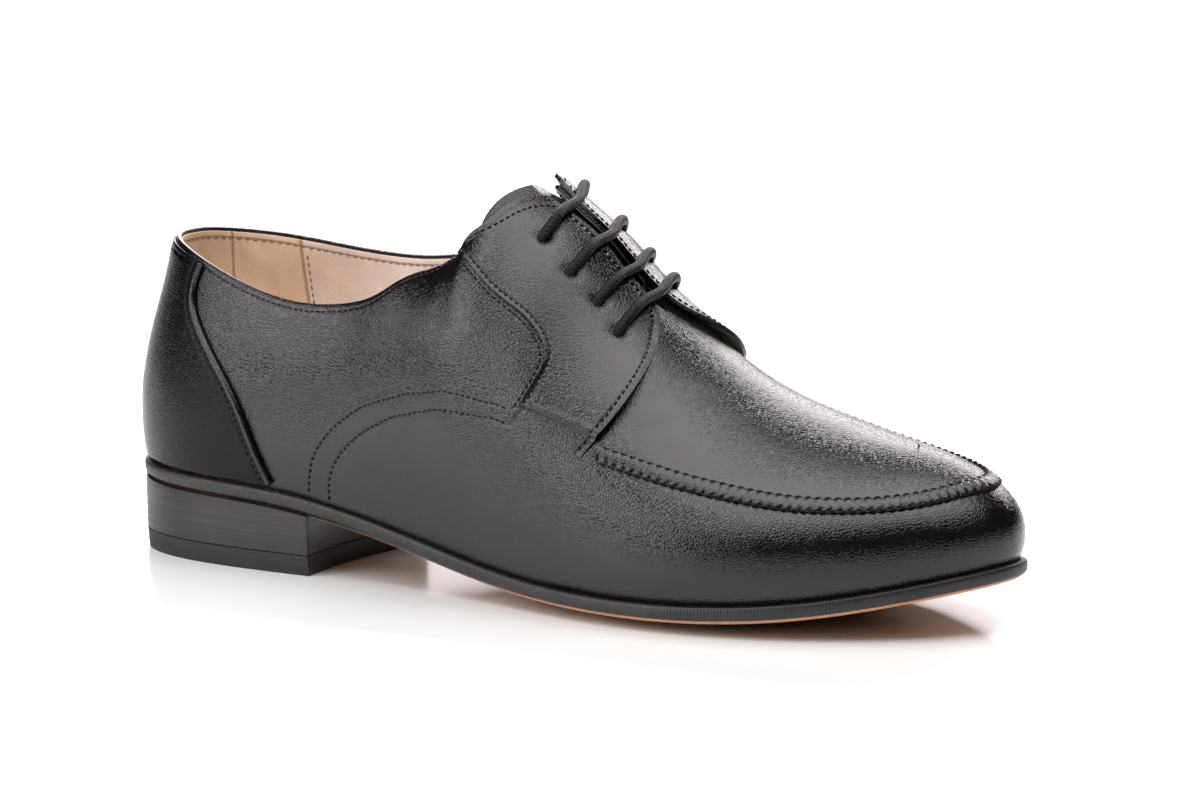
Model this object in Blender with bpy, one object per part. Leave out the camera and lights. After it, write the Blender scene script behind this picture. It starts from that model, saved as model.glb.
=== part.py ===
"""Black leather derby shoe with an apron toe, right foot, modelled as separate solids.

The shoe is worked out in millimetres in the frame of its last: x runs from the back of the heel
to the toe, y from the lateral side (negative) to the medial side, and z up from the floor. Each
solid is then placed in metres with its origin at the middle of the shoe's footprint.
"""
import bmesh
import bpy
import numpy as np
from mathutils import Matrix

# Driving dimensions in millimetres
LENGTH = 296.5
SOLE_THICKNESS = 5.0
WELT = 2.0
GAP = 0.3
OVERLAY_GAP = 0.45
TONGUE_GAP = 0.9
WALL = 2.0
HEEL_BREAST = 78.0
BREAST_HOLLOW = 3.0
HEEL_INSET = 0.3
LIFT_HEIGHT = 6.0
LIFT_INSET = 0.65
LIFT_FOOT_INSET = 1.2
INSOLE_THICKNESS = 2.5
TONGUE_THICKNESS = 1.8
TONGUE_TOP = 7.0
TONGUE_ROUND = 0.45
TONGUE_LEAN = 0.6
FACING_THICKNESS = 1.4
TOP_EASE = 0.85
COUNTER_THICKNESS = 0.8
COUNTER_FOOT = 0.02
COUNTER_TOP = 0.985
LOW_PULL = 0.42
CROWN_LEAN = 60.0
SEAM_WIDTH = 5.0
SEAM_HEIGHT = 0.7
SEAM_SHOULDER = 0.45
LACE_DIAMETER = 3.2
SAG = 0.3
LATERAL_BOW = 1.6
LATERAL_BOW_PLACE = 0.30
MEDIAL_BOW = 1.7
MEDIAL_BOW_PLACE = 0.46
BOW_SPREAD = 0.13
MIDDLE = (147.98, -1.24, 0.0)
MM = 0.001
WELD = 0.004

# Sole outline: x, half_width, centre
OUTLINE = (
    (0, 0.0, 0.0), (12, 22.5, 0.0), (36, 31.8, 0.0), (70, 33.2, -0.5), (105, 31.8, -2.5), (140, 34.5, -5.0),
    (175, 43.0, -4.4), (208, 48.6, -2.0), (240, 46.2, 1.2), (265, 36.8, 3.4), (286, 21.8, 4.6),
    (LENGTH, 0.0, 4.8))

# Side view of the sole: x, height of its top, hang of its middle below its edge
SIDE = (
    (0, 27.5, 0.0), (35, 26.0, 0.0), (75, 23.5, 0.0), (110, 17.0, 1.0), (150, 10.0, 3.0), (185, 8.0, 4.6),
    (215, 8.3, 4.6), (250, 11.0, 2.6), (280, 16.5, 1.0), (LENGTH, 20.0, 0.0))

# Sections of the last: foot_x, top_x, crest_y, top_half, top_z, medial_rise, lean, flare, top_pull
SECTIONS = (
    (0, 12.5, 0.0, 0.0, 96.8, 0.0, 10, 10, 0.38),
    (12, 16.5, 0.0, 13.0, 96.0, 0.0, 10, 11, 0.38),
    (36, 34.5, 0.0, 25.5, 92.0, 1.5, 12, 13, 0.38),
    (70, 68.0, -0.3, 30.5, 83.0, 7.0, 15, 13, 0.38),
    (97, 94.0, -1.2, 31.0, 83.8, 8.0, 22, 12, 0.38),
    (113, 110.0, -1.8, 28.0, 91.5, 7.5, 35, 13, 0.40),
    (124, 123.0, -2.2, 20.0, 105.0, 5.0, 49, 14, 0.42),
    (133, 133.0, -2.4, 9.0, 116.5, 2.0, 68, 15, 0.42),
    (142, 140.5, -2.4, 0.0, 119.8, 0.0, 88, 16, 0.42),
    (151, 150.0, -2.0, 0.0, 112.6, 0.0, 90, 17, 0.42),
    (161, 161.0, -1.5, 0.0, 104.4, 0.0, 90, 18, 0.42),
    (171, 170.5, -0.8, 0.0, 95.0, 0.0, 90, 20, 0.42),
    (182, 181.0, 0.6, 0.0, 85.2, 0.0, 90, 22, 0.42),
    (195, 194.0, 2.8, 0.0, 75.2, 0.0, 90, 24, 0.42),
    (208, 206.5, 4.6, 0.0, 67.0, 0.0, 90, 26, 0.42),
    (222, 220.0, 6.0, 0.0, 61.0, 0.0, 90, 27, 0.42),
    (240, 236.0, 6.8, 0.0, 56.2, 0.0, 90, 28, 0.42),
    (270, 254.0, 6.8, 0.0, 52.0, 0.0, 90, 26, 0.43),
    (LENGTH, 263.0, 6.4, 0.0, 50.2, 0.0, 90, 20, 0.44))

# Rim of the upper: foot_x, lateral_x, lateral, medial_x, medial (x on the chart, height on the chart)
RIM = (
    (0, 0, 1.0, 0, 1.0), (40, 40, 1.0, 40, 1.0), (80, 80, 1.0, 80, 1.0), (100, 100, 0.997, 100, 0.997),
    (110, 110, 0.984, 110, 0.984), (118, 119, 0.94, 118, 0.945), (126, 130.5, 0.80, 125.5, 0.84),
    (132, 137, 0.715, 130.5, 0.768), (138, 142.3, 0.707, 134.5, 0.756), (143, 145.6, 0.770, 137.6, 0.80),
    (147, 147.0, 0.877, 139.4, 0.885), (151, 149, 0.945, 142.2, 0.945), (156, 155, 0.97, 151, 0.965),
    (166, 166, 0.972, 164, 0.972), (176, 176, 0.972, 175, 0.972))
SLOT_END = 184.0

# Rows and columns of the solids' grids
UPPER_ROWS = 11
ROW_SPREAD = 0.9
SOLE_COLUMNS = 36
TONGUE_GRID = (16, 5)
FACING_GRID = (10, 16)
COUNTER_GRID = (10, 7)
SEAM_GRID = (18, 4)
INSOLE_GRID = (24, 5)
HEEL_GRID = (14, 6)
LACE_POINTS = 14
SHARP_ANGLE = 40.0

# Columns of the upper: foot_x where a run starts, count up to the next row
UPPER_COLUMNS = ((0, 12), (100, 6), (126, 9), (154, 5), (SLOT_END, 14))

# Rear seam of the facing, from its foot up: lateral_x, lateral, medial_x, medial
FACING_REAR = (
    (160.3, 0.345, 160.5, 0.500), (164.8, 0.405, 164.5, 0.530), (168.6, 0.490, 168.0, 0.570),
    (169.4, 0.565, 168.0, 0.615), (162.5, 0.602, 160.0, 0.640), (152.0, 0.612, 148.0, 0.652),
    (143.5, 0.640, 138.0, 0.685), (137.5, 0.690, 131.5, 0.740))

# Front and throat edge of the facing, from its foot up: lateral_x, lateral, medial_x, medial
FACING_FRONT = (
    (185.4, 0.378, 187.0, 0.540), (190.0, 0.470, 191.0, 0.590), (193.0, 0.580, 194.0, 0.650),
    (193.4, 0.690, 195.5, 0.720), (191.6, 0.800, 194.5, 0.810), (187.3, 0.900, 189.0, 0.900),
    (181.5, 0.956, 181.0, 0.956), (171.0, 0.966, 169.0, 0.966), (160.6, 0.970, 156.0, 0.967),
    (149.4, 0.950, 142.6, 0.945))

# Top edge of the facing, from its rear seam to the throat: lateral_x, lateral, medial_x, medial
FACING_TOP = (
    (137.5, 0.690, 131.5, 0.740), (143.0, 0.706, 135.2, 0.757), (146.0, 0.782, 137.8, 0.805),
    (147.3, 0.880, 139.6, 0.885), (149.4, 0.950, 142.6, 0.945))

# Seam of the heel counter: height on the chart, foot_x
COUNTER = ((0.0, 65.0), (0.17, 60.0), (0.41, 54.0), (0.66, 42.0), (0.81, 35.5), (1.0, 38.0))

# Raised apron seam round the toe: foot_x, lateral, medial (heights on the chart)
APRON = (
    (188, 0.410, 0.580), (198, 0.422, 0.620), (214, 0.438, 0.655), (228, 0.440, 0.668), (241, 0.439, 0.660),
    (255, 0.447, 0.645), (270, 0.463, 0.630), (281, 0.487, 0.610), (290, 0.525, 0.580),
    (LENGTH, 0.555, 0.555))

# Where the apron seam comes out from under each facing: lateral foot_x, medial foot_x
APRON_START = (190.0, 198.5)

# Lower edges of the tongue under the facings: foot_x, height on the chart
TONGUE = ((147, 0.64), (152, 0.69), (160, 0.74), (170, 0.77), (180, 0.80), (192, 0.86))

# Lace holes, a row for each bar from the top down:
# lateral_x, lateral, medial_x, medial, lateral_lift, medial_lift
LACE_HOLES = (
    (156.5, 0.825, 148.0, 0.860, 0.8, 0.7), (166.0, 0.805, 159.5, 0.840, 0.3, 0.2),
    (174.7, 0.802, 169.0, 0.840, 0.1, 0.3), (182.6, 0.768, 177.0, 0.830, 0.2, 0.8))

# Side profile of the sole from its top face to its bottom face: inset, drop
SOLE_EDGE = ((4.0, 0.0), (0.9, 0.0), (0.2, 0.5), (0.0, 1.4), (0.2, 3.2), (0.8, 4.0), (1.9, 5.0))

# Materials: name, colour, roughness
BLACK_LEATHER = ("black_leather", (0.018, 0.017, 0.019, 1.0), 0.35)
SOLE_LEATHER = ("sole_leather", (0.020, 0.018, 0.019, 1.0), 0.45)
HEEL_LEATHER = ("heel_leather", (0.024, 0.022, 0.023, 1.0), 0.50)
LIFT_RUBBER = ("lift_rubber", (0.015, 0.014, 0.015, 1.0), 0.60)
TAN_LINING = ("tan_lining", (0.62, 0.47, 0.30, 1.0), 0.60)
LACE_CORD = ("lace_cord", (0.012, 0.012, 0.013, 1.0), 0.55)


def clear_scene():
    """Remove every object of the open file."""
    for thing in list(bpy.data.objects):
        bpy.data.objects.remove(thing, do_unlink=True)


def station(x):
    """Place along the sole's outline, 0 at the back of the heel and 1 at the toe tip."""
    return np.arccos(np.clip(1.0 - 2.0 * np.asarray(x, float) / LENGTH, -1.0, 1.0)) / np.pi


def along(s):
    """Distance from the back of the heel at a station."""
    return LENGTH * (1.0 - np.cos(np.pi * s)) / 2.0


def spline(knots, values, flat=True):
    """Smooth cubic through the rows of a table; flat ends have no slope, free ends no curvature."""
    knots = np.asarray(knots, float)
    values = np.asarray(values, float)
    count = len(knots)
    step = np.diff(knots)
    rate = np.diff(values) / step
    matrix = np.zeros((count, count))
    right = np.zeros(count)
    for i in range(1, count - 1):
        matrix[i, i - 1:i + 2] = step[i], 2.0 * (step[i - 1] + step[i]), step[i - 1]
        right[i] = 3.0 * (step[i] * rate[i - 1] + step[i - 1] * rate[i])
    if flat:
        matrix[0, 0] = matrix[-1, -1] = 1.0
    else:
        matrix[0, :2] = 2.0, 1.0
        matrix[-1, -2:] = 1.0, 2.0
        right[0] = 3.0 * rate[0]
        right[-1] = 3.0 * rate[-1]
    slope = np.linalg.solve(matrix, right)

    def curve(place):
        place = np.clip(np.asarray(place, float), knots[0], knots[-1])
        i = np.clip(np.searchsorted(knots, place, side="right") - 1, 0, count - 2)
        t = (place - knots[i]) / step[i]
        start = (1 + 2 * t) * (1 - t) ** 2 * values[i] + t * (1 - t) ** 2 * step[i] * slope[i]
        return start + t * t * (3 - 2 * t) * values[i + 1] + t * t * (t - 1) * step[i] * slope[i + 1]
    return curve


def column(table, index, flat=True):
    """One column of a table as a smooth function of the station of its first column."""
    rows = np.array(table, float)
    return spline(station(rows[:, 0]), rows[:, index], flat)


def path(table, index):
    """One column of a table as a smooth function of the row, 0 at the first and 1 at the last."""
    rows = np.array(table, float)
    return spline(np.linspace(0.0, 1.0, len(rows)), rows[:, index], flat=False)


half_width = column(OUTLINE, 1, flat=False)
centre = column(OUTLINE, 2)
sole_top = column(SIDE, 1)
sole_hang = column(SIDE, 2)
top_x, crest_y, top_half, top_z, medial_rise, lean, flare, top_pull = (
    column(SECTIONS, i, flat=(i != 3)) for i in range(1, 9))


def vector(x, y, z):
    """Stack coordinates into points."""
    x, y, z = np.broadcast_arrays(x, y, z)
    return np.stack([x, y, z], axis=-1)


def outline_y(s, side):
    """Side place of the sole's outline; past the toe or the heel it runs on along the other side."""
    past = (s < 0.0) | (s > 1.0)
    inside = np.where(s > 1.0, 2.0 - s, np.abs(s))
    return centre(inside) + np.where(past, -side, side) * half_width(inside)


def outline_normal(s, side):
    """Outward direction of the sole's outline in plan."""
    tiny = 1e-4
    dx = along(s + tiny) - along(s - tiny)
    dy = outline_y(s + tiny, side) - outline_y(s - tiny, side)
    size = np.maximum(np.hypot(dx, dy), 1e-12)
    return vector(-side * dy / size, side * dx / size, 0.0 * dx)


def outline(s, side, inset=0.0):
    """Point of the sole's outline in plan, moved in by an inset."""
    edge = vector(along(s), centre(s) + side * half_width(s), 0.0 * s)
    return edge - np.asarray(inset)[..., None] * outline_normal(s, side)


def last(s, v, side):
    """Outer skin of the upper: each station is one Bezier from the sole (v = 0) to the top (v = 1)."""
    s, v, side = np.broadcast_arrays(np.asarray(s, float), np.asarray(v, float), np.asarray(side, float))
    out = outline_normal(s, side)
    foot = outline(s, side, WELT + 0.0 * s) + vector(0.0 * s, 0.0 * s, sole_top(s) + GAP)
    rise = np.where(side > 0, medial_rise(s), 0.0)
    crest = vector(top_x(s), crest_y(s) + side * np.maximum(top_half(s), 0.0), top_z(s) + rise)
    tiny = 1e-3
    before = np.clip(s - tiny, 0.0, 1.0)
    after = np.clip(s + tiny, 0.0, 1.0)
    run = top_x(after) - top_x(before)
    fall = top_z(after) - top_z(before)
    size = np.maximum(np.hypot(run, fall), 1e-9)
    ridge_up = vector(-fall / size, 0.0 * run, run / size)
    crown = np.clip((lean(s) - CROWN_LEAN) / (90.0 - CROWN_LEAN), 0.0, 1.0)
    crown = (crown * crown * (3.0 - 2.0 * crown))[..., None]
    across = out - crown * (out * ridge_up).sum(-1, keepdims=True) * ridge_up
    up = np.array([0.0, 0.0, 1.0])
    tilt = np.radians(lean(s))[..., None]
    spread = np.radians(flare(s))[..., None]
    chord = np.linalg.norm(crest - foot, axis=-1, keepdims=True)
    low = foot + (np.cos(spread) * up + np.sin(spread) * out) * chord * LOW_PULL
    high = crest + (np.sin(tilt) * across - np.cos(tilt) * up) * chord * top_pull(s)[..., None]
    v = v[..., None]
    return (1 - v) ** 3 * foot + 3 * v * (1 - v) ** 2 * low + 3 * v * v * (1 - v) * high + v ** 3 * crest


def around(s, v, side):
    """Outer skin where a station past the toe or the heel runs on along the other side."""
    past = (s < 0.0) | (s > 1.0)
    s = np.where(s > 1.0, 2.0 - s, np.abs(s))
    return last(s, v, np.where(past, -side, side))


def skin(s, v, side, lift):
    """Point of the skin moved out along its normal by a lift."""
    s, v, side = np.broadcast_arrays(np.asarray(s, float), np.asarray(v, float), np.asarray(side, float))
    tiny = 1e-4
    along_s = around(s + tiny, v, side) - around(s - tiny, v, side)
    along_v = last(s, v + tiny, side) - last(s, v - tiny, side)
    normal = np.cross(along_s, along_v) * -side[..., None]
    normal /= np.maximum(np.linalg.norm(normal, axis=-1, keepdims=True), 1e-12)
    return last(s, v, side) + normal * np.broadcast_to(lift, s.shape)[..., None]


def material(finish):
    """Principled material from a row of name, colour and roughness."""
    name, colour, roughness = finish
    made = bpy.data.materials.get(name) or bpy.data.materials.new(name)
    made.use_nodes = True
    shader = made.node_tree.nodes["Principled BSDF"]
    shader.inputs["Base Color"].default_value = colour
    shader.inputs["Roughness"].default_value = roughness
    return made


def finish_object(name, mesh, finish):
    """Object in metres about the middle of the footprint, shaded smooth."""
    mesh.transform(scale_and_centre())
    mesh.materials.append(material(finish))
    mesh.shade_smooth()
    mesh.set_sharp_from_angle(angle=np.radians(SHARP_ANGLE))
    thing = bpy.data.objects.new(name, mesh)
    bpy.context.scene.collection.objects.link(thing)
    return thing


def scale_and_centre():
    """Matrix from millimetres in the last's frame to metres in the shoe's frame."""
    return Matrix.Scale(MM, 4) @ Matrix.Translation([-value for value in MIDDLE])


def thick_sheet(name, patches, finish):
    """Closed solid from welded grids; each patch is columns, rows and a place(c, r) of outer and inner."""
    bm = bmesh.new()
    under = bm.verts.layers.float_vector.new("under")
    for columns, rows, place in patches:
        grid = bmesh.ops.create_grid(bm, x_segments=columns, y_segments=rows, size=0.5)["verts"]
        spots = np.array([vert.co[:2] for vert in grid], float) + 0.5
        outer, inner = place(spots[:, 0], spots[:, 1])
        for vert, outside, inside in zip(grid, outer, inner):
            vert.co = outside
            vert[under] = inside
    bmesh.ops.remove_doubles(bm, verts=bm.verts, dist=WELD)
    extruded = bmesh.ops.extrude_face_region(bm, geom=bm.faces[:], use_keep_orig=True)
    for item in extruded["geom"]:
        if isinstance(item, bmesh.types.BMVert):
            item.co = item[under]
    bmesh.ops.recalc_face_normals(bm, faces=bm.faces)
    mesh = bpy.data.meshes.new(name)
    bm.to_mesh(mesh)
    bm.free()
    return finish_object(name, mesh, finish)


def upper_stations():
    """Stations of the upper's columns, closest where the facings end at the top of the throat."""
    starts = [row[0] for row in UPPER_COLUMNS] + [LENGTH]
    marks = [np.zeros(1)]
    for (start, count), end in zip(UPPER_COLUMNS, starts[1:]):
        marks.append(np.linspace(station(start), station(end), count + 1)[1:])
    return np.concatenate(marks)


def upper():
    """Hollow wall from the welt to the collar, slit at the throat and open underneath."""
    marks = upper_stations()
    columns, rows = len(marks) - 1, UPPER_ROWS
    rim_s = [column(RIM, i) for i in (1, 3)]
    rim_v = [column(RIM, i) for i in (2, 4)]

    def half(side):
        which = 0 if side < 0 else 1

        def place(c, r):
            s = marks[np.rint(c * columns).astype(int)]
            closed = s > station(SLOT_END) - 1e-6
            top_s = np.where(closed, s, station(rim_s[which](s)))
            top_v = np.where(closed, 1.0, rim_v[which](s))
            rise = r ** ROW_SPREAD
            chart_s = s + (top_s - s) * rise
            chart_v = top_v * rise
            return skin(chart_s, chart_v, side, 0.0), skin(chart_s, chart_v, side, -WALL)
        return columns, rows, place
    return thick_sheet("upper", [half(-1), half(1)], BLACK_LEATHER)


def tongue():
    """Tongue under the facings, from the vamp to a rounded top that runs straight on above them."""
    start, end = TONGUE[0][0], TONGUE[-1][0]
    edge = column(TONGUE, 1, flat=False)
    top = -(WALL + TONGUE_GAP)
    rise = last(station(start), 1.0, -1) - last(station(start + TONGUE_TOP), 1.0, -1)
    rise = rise / np.linalg.norm(rise)

    def half(side):
        def place(c, r):
            reach = (end - start + TONGUE_TOP) * c - TONGUE_TOP
            beyond = np.maximum(-reach, 0.0) * (1.0 - TONGUE_ROUND * (1.0 - r) ** 2)
            s = station(start + np.maximum(reach, 0.0))
            v = edge(s) + (1.0 - edge(s)) * r
            outer = skin(s, v, side, top)
            inner = skin(s, v, side, top - TONGUE_THICKNESS)
            inward = (inner - outer) / TONGUE_THICKNESS
            step = beyond[:, None] * (rise + TONGUE_LEAN * (1.0 - r * r)[:, None] * inward)
            return outer + step, inner + step
        return *TONGUE_GRID, place
    return thick_sheet("tongue", [half(-1), half(1)], BLACK_LEATHER)


def facing(name, side, bow, bow_place):
    """Quarter's facing panel laid over the upper; its front edge may bow clear of the vamp."""
    first = 0 if side < 0 else 2
    rear_x, rear_v = path(FACING_REAR, first), path(FACING_REAR, first + 1)
    front_x, front_v = path(FACING_FRONT, first), path(FACING_FRONT, first + 1)
    top_edge_x, top_edge_v = path(FACING_TOP, first), path(FACING_TOP, first + 1)

    def spread(rear, front, top, c, r):
        straight = rear(1.0) + (front(1.0) - rear(1.0)) * c
        return rear(r) + (front(r) - rear(r)) * c + (top(c) - straight) * r ** 4

    def place(c, r):
        s = station(spread(rear_x, front_x, top_edge_x, c, r))
        v = spread(rear_v, front_v, top_edge_v, c, r)
        proud = bow * c ** 3 * np.exp(-((r - bow_place) / BOW_SPREAD) ** 2)
        lift = OVERLAY_GAP + TOP_EASE * np.sqrt(c) * r ** 8 + proud
        return skin(s, v, side, lift + FACING_THICKNESS), skin(s, v, side, lift)
    return thick_sheet(name, [(*FACING_GRID, place)], BLACK_LEATHER)


def counter():
    """Heel counter panel wrapped round the back of the upper."""
    seam = spline([row[0] for row in COUNTER], [row[1] for row in COUNTER], flat=False)

    def half(side):
        def place(c, r):
            v = COUNTER_FOOT + (COUNTER_TOP - COUNTER_FOOT) * r
            s = station(seam(v)) * c
            return skin(s, v, side, OVERLAY_GAP + COUNTER_THICKNESS), skin(s, v, side, OVERLAY_GAP)
        return *COUNTER_GRID, place
    return thick_sheet("counter", [half(-1), half(1)], BLACK_LEATHER)


def apron_seam():
    """Raised seam that joins the apron to the side wall, from one facing round the toe to the other."""
    heights = {-1: column(APRON, 1), 1: column(APRON, 2)}
    starts = {-1: station(APRON_START[0]), 1: station(APRON_START[1])}

    def half(side):
        def place(c, r):
            s = starts[side] + (1.0 - starts[side]) * c
            middle = heights[side](s)
            tiny = 0.01
            reach = np.linalg.norm(last(s, middle + tiny, side) - last(s, middle - tiny, side), axis=-1)
            v = middle + (r - 0.5) * SEAM_WIDTH * 2.0 * tiny / reach
            swell = SEAM_HEIGHT * (SEAM_SHOULDER + (1.0 - SEAM_SHOULDER) * np.sin(np.pi * r))
            return skin(s, v, side, OVERLAY_GAP + swell), skin(s, v, side, OVERLAY_GAP)
        return *SEAM_GRID, place
    return thick_sheet("apron_seam", [half(-1), half(1)], BLACK_LEATHER)


def plate_point(x, f, inset, z):
    """Point of a flat layer at x, a fraction f from the lateral (-1) to the medial edge (1)."""
    s = station(x)
    left = outline(s, -1.0, inset)
    right = outline(s, 1.0, inset)
    point = left + (right - left) * ((f + 1.0) / 2.0)[..., None]
    point[..., 2] = z
    return point


def insole():
    """Insole board inside the upper, on the sole."""
    inset = WELT + WALL + 2 * GAP

    def place(c, r):
        f = 2.0 * r - 1.0
        low = sole_top(c) + GAP
        x = along(c)
        inner = plate_point(x, f, inset + 0.0 * x, low)
        outer = plate_point(x, f, inset + 0.0 * x, low + INSOLE_THICKNESS)
        return outer, inner
    return thick_sheet("insole", [(*INSOLE_GRID, place)], TAN_LINING)


def outsole():
    """Leather sole: stepped edge, arch, toe spring and a flat tread under the ball of the foot."""
    edge = np.array(SOLE_EDGE)
    inner_inset = edge[0][0]
    outer_inset = edge[-1][0]
    across = np.array((-0.75, -0.45, -0.15, 0.15, 0.45, 0.75))
    ring = []
    for inset, drop in edge:
        ring.append((-1.0, inset, drop))
    for f in across:
        ring.append((f, outer_inset, SOLE_THICKNESS))
    for inset, drop in edge[::-1]:
        ring.append((1.0, inset, drop))
    for f in across[::-1]:
        ring.append((f, inner_inset, 0.0))
    ring.append(ring[0])
    ring = np.array(ring)

    bm = bmesh.new()
    columns, rows = SOLE_COLUMNS, len(ring) - 1
    grid = bmesh.ops.create_grid(bm, x_segments=columns, y_segments=rows, size=0.5)["verts"]
    spots = np.array([vert.co[:2] for vert in grid], float) + 0.5
    s = spots[:, 0]
    f, inset, drop = ring[np.rint(spots[:, 1] * rows).astype(int)].T
    hang = np.where(drop >= SOLE_THICKNESS, sole_hang(s) * (1.0 - f * f), 0.0)
    z = np.maximum(sole_top(s) - drop - hang, 0.0)
    points = plate_point(along(s), f, inset, z)
    for vert, point in zip(grid, points):
        vert.co = point
    bmesh.ops.remove_doubles(bm, verts=bm.verts, dist=WELD)
    bmesh.ops.recalc_face_normals(bm, faces=bm.faces)
    mesh = bpy.data.meshes.new("outsole")
    bm.to_mesh(mesh)
    bm.free()
    return finish_object("outsole", mesh, SOLE_LEATHER)


def heel_point(c, r, inset, z):
    """Point of a heel layer: c from the back to the hollow breast, r from lateral to medial."""
    f = 2.0 * r - 1.0
    hollow = BREAST_HOLLOW * (1.0 - f * f) * c ** 3
    s = station(HEEL_BREAST) * c
    point = plate_point(along(s), f, inset, z)
    point[..., 0] -= hollow
    return point


def heel():
    """Stacked heel block under the seat, with a hollow breast."""
    seat = GAP + SOLE_THICKNESS

    def place(c, r):
        s = station(HEEL_BREAST) * c
        outer = heel_point(c, r, HEEL_INSET + 0.0 * c, sole_top(s) - seat)
        inner = heel_point(c, r, LIFT_INSET + 0.0 * c, LIFT_HEIGHT + GAP + 0.0 * c)
        return outer, inner
    return thick_sheet("heel", [(*HEEL_GRID, place)], HEEL_LEATHER)


def heel_lift():
    """Top piece that the heel stands on, bevelled round its edge."""
    def place(c, r):
        outer = heel_point(c, r, LIFT_INSET + 0.0 * c, LIFT_HEIGHT + 0.0 * c)
        inner = heel_point(c, r, LIFT_FOOT_INSET + 0.0 * c, 0.0 * c)
        return outer, inner
    return thick_sheet("heel_lift", [(*HEEL_GRID, place)], LIFT_RUBBER)


def lace_bar(number, lateral_x, lateral_v, medial_x, medial_v, lateral_lift, medial_lift):
    """One bar of lace from its lateral hole over the throat to its medial hole."""
    rest = OVERLAY_GAP + FACING_THICKNESS + GAP + LACE_DIAMETER / 2
    near, far = rest + lateral_lift, rest + medial_lift
    middle_x = (lateral_x + medial_x) / 2
    route = (
        (lateral_x, lateral_v, -1, near),
        (0.75 * lateral_x + 0.25 * medial_x, 0.5 * lateral_v + 0.5, -1, near),
        (middle_x, 1.0, -1, (near + far) / 2 - SAG),
        (0.25 * lateral_x + 0.75 * medial_x, 0.5 * medial_v + 0.5, 1, far),
        (medial_x, medial_v, 1, far))
    knots = np.array([skin(station(x), v, side, lift) for x, v, side, lift in route])
    reach = np.concatenate([[0.0], np.cumsum(np.linalg.norm(np.diff(knots, axis=0), axis=1))])
    fine = np.linspace(0.0, reach[-1], LACE_POINTS)
    points = np.stack([spline(reach, knots[:, i], flat=False)(fine) for i in range(3)], axis=-1)
    curve = bpy.data.curves.new("lace_bar_%d" % number, "CURVE")
    curve.dimensions = "3D"
    curve.bevel_depth = LACE_DIAMETER / 2
    curve.bevel_resolution = 2
    curve.use_fill_caps = True
    line = curve.splines.new("POLY")
    line.points.add(len(points) - 1)
    for spot, point in zip(line.points, points):
        spot.co = (*point, 1.0)
    guide = bpy.data.objects.new("lace_guide", curve)
    mesh = bpy.data.meshes.new_from_object(guide)
    bpy.data.objects.remove(guide)
    return finish_object("lace_bar_%d" % number, mesh, LACE_CORD)


def main():
    """Model every piece of the shoe."""
    clear_scene()
    outsole()
    heel()
    heel_lift()
    insole()
    upper()
    tongue()
    counter()
    apron_seam()
    facing("facing_lateral", -1, LATERAL_BOW, LATERAL_BOW_PLACE)
    facing("facing_medial", 1, MEDIAL_BOW, MEDIAL_BOW_PLACE)
    for number, holes in enumerate(LACE_HOLES, start=1):
        lace_bar(number, *holes)


main()
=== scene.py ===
"""Black leather derby shoe with an apron toe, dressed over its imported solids.

The shoe is worked out in millimetres in the frame of its last: x runs from the back of the heel
to the toe, y from the lateral side (negative) to the medial side, and z up from the floor. A chart
of foot_x and height (0 at the welt, 1 at the crest) places every seam on the last. Each finished
piece is then put in metres about the middle of the shoe's footprint.
"""

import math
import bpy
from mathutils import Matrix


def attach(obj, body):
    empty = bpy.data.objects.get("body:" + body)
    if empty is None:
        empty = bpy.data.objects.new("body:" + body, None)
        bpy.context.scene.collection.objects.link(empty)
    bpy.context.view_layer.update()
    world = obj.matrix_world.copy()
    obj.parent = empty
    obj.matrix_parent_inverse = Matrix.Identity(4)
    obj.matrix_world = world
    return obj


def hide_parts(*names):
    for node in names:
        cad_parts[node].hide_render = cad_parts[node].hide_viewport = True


bl_info = {
    "name": "Leather Derby Shoe",
    "version": (1, 0, 0),
    "blender": (4, 5, 0),
    "location": "3D View > Sidebar > Shoe",
    "description": "Leather, linings, seams, laces and sole of a derby shoe",
    "category": "Object",
}

import bmesh
import bpy
import numpy as np
from bpy.props import FloatProperty, FloatVectorProperty, PointerProperty
from mathutils import Matrix, Vector

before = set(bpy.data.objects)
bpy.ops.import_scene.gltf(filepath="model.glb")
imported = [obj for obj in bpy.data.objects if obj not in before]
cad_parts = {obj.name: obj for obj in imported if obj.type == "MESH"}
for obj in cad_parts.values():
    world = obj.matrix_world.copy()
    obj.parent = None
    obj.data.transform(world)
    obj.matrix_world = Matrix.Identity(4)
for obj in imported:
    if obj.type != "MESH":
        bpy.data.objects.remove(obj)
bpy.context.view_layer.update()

MM = 0.001
MIDDLE = (147.98, -1.24, 0.0)
WELD = 0.004
LENGTH = 296.5
SOLE_THICKNESS = 5.0
WELT = 2.0
GAP = 0.3
OVERLAY_GAP = 0.45
TONGUE_GAP = 0.9
WALL = 2.0
HEEL_BREAST = 78.0
BREAST_HOLLOW = 3.0
HEEL_INSET = 0.3
LIFT_HEIGHT = 6.0
LIFT_INSET = 0.65
LIFT_FOOT_INSET = 1.2
INSOLE_THICKNESS = 2.5
TONGUE_THICKNESS = 1.8
TONGUE_TOP = 7.0
TONGUE_ROUND = 0.45
TONGUE_LEAN = 0.6
FACING_THICKNESS = 1.4
TOP_EASE = 0.85
COUNTER_THICKNESS = 0.8
COUNTER_FOOT = 0.02
COUNTER_TOP = 0.985
LOW_PULL = 0.42
CROWN_LEAN = 60.0
RIDGE_SPAN = 0.035
THROAT_EASE = (128.0, 147.0)
SEAM_WIDTH = 5.0
SEAM_HEIGHT = 0.7
SAG = 0.3
BOW_SPREAD = 0.13
SLOT_END = 184.0
ROW_SPREAD = 0.9
SHARP_ANGLE = 50.0
FACING_STEP = 1.25
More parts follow.
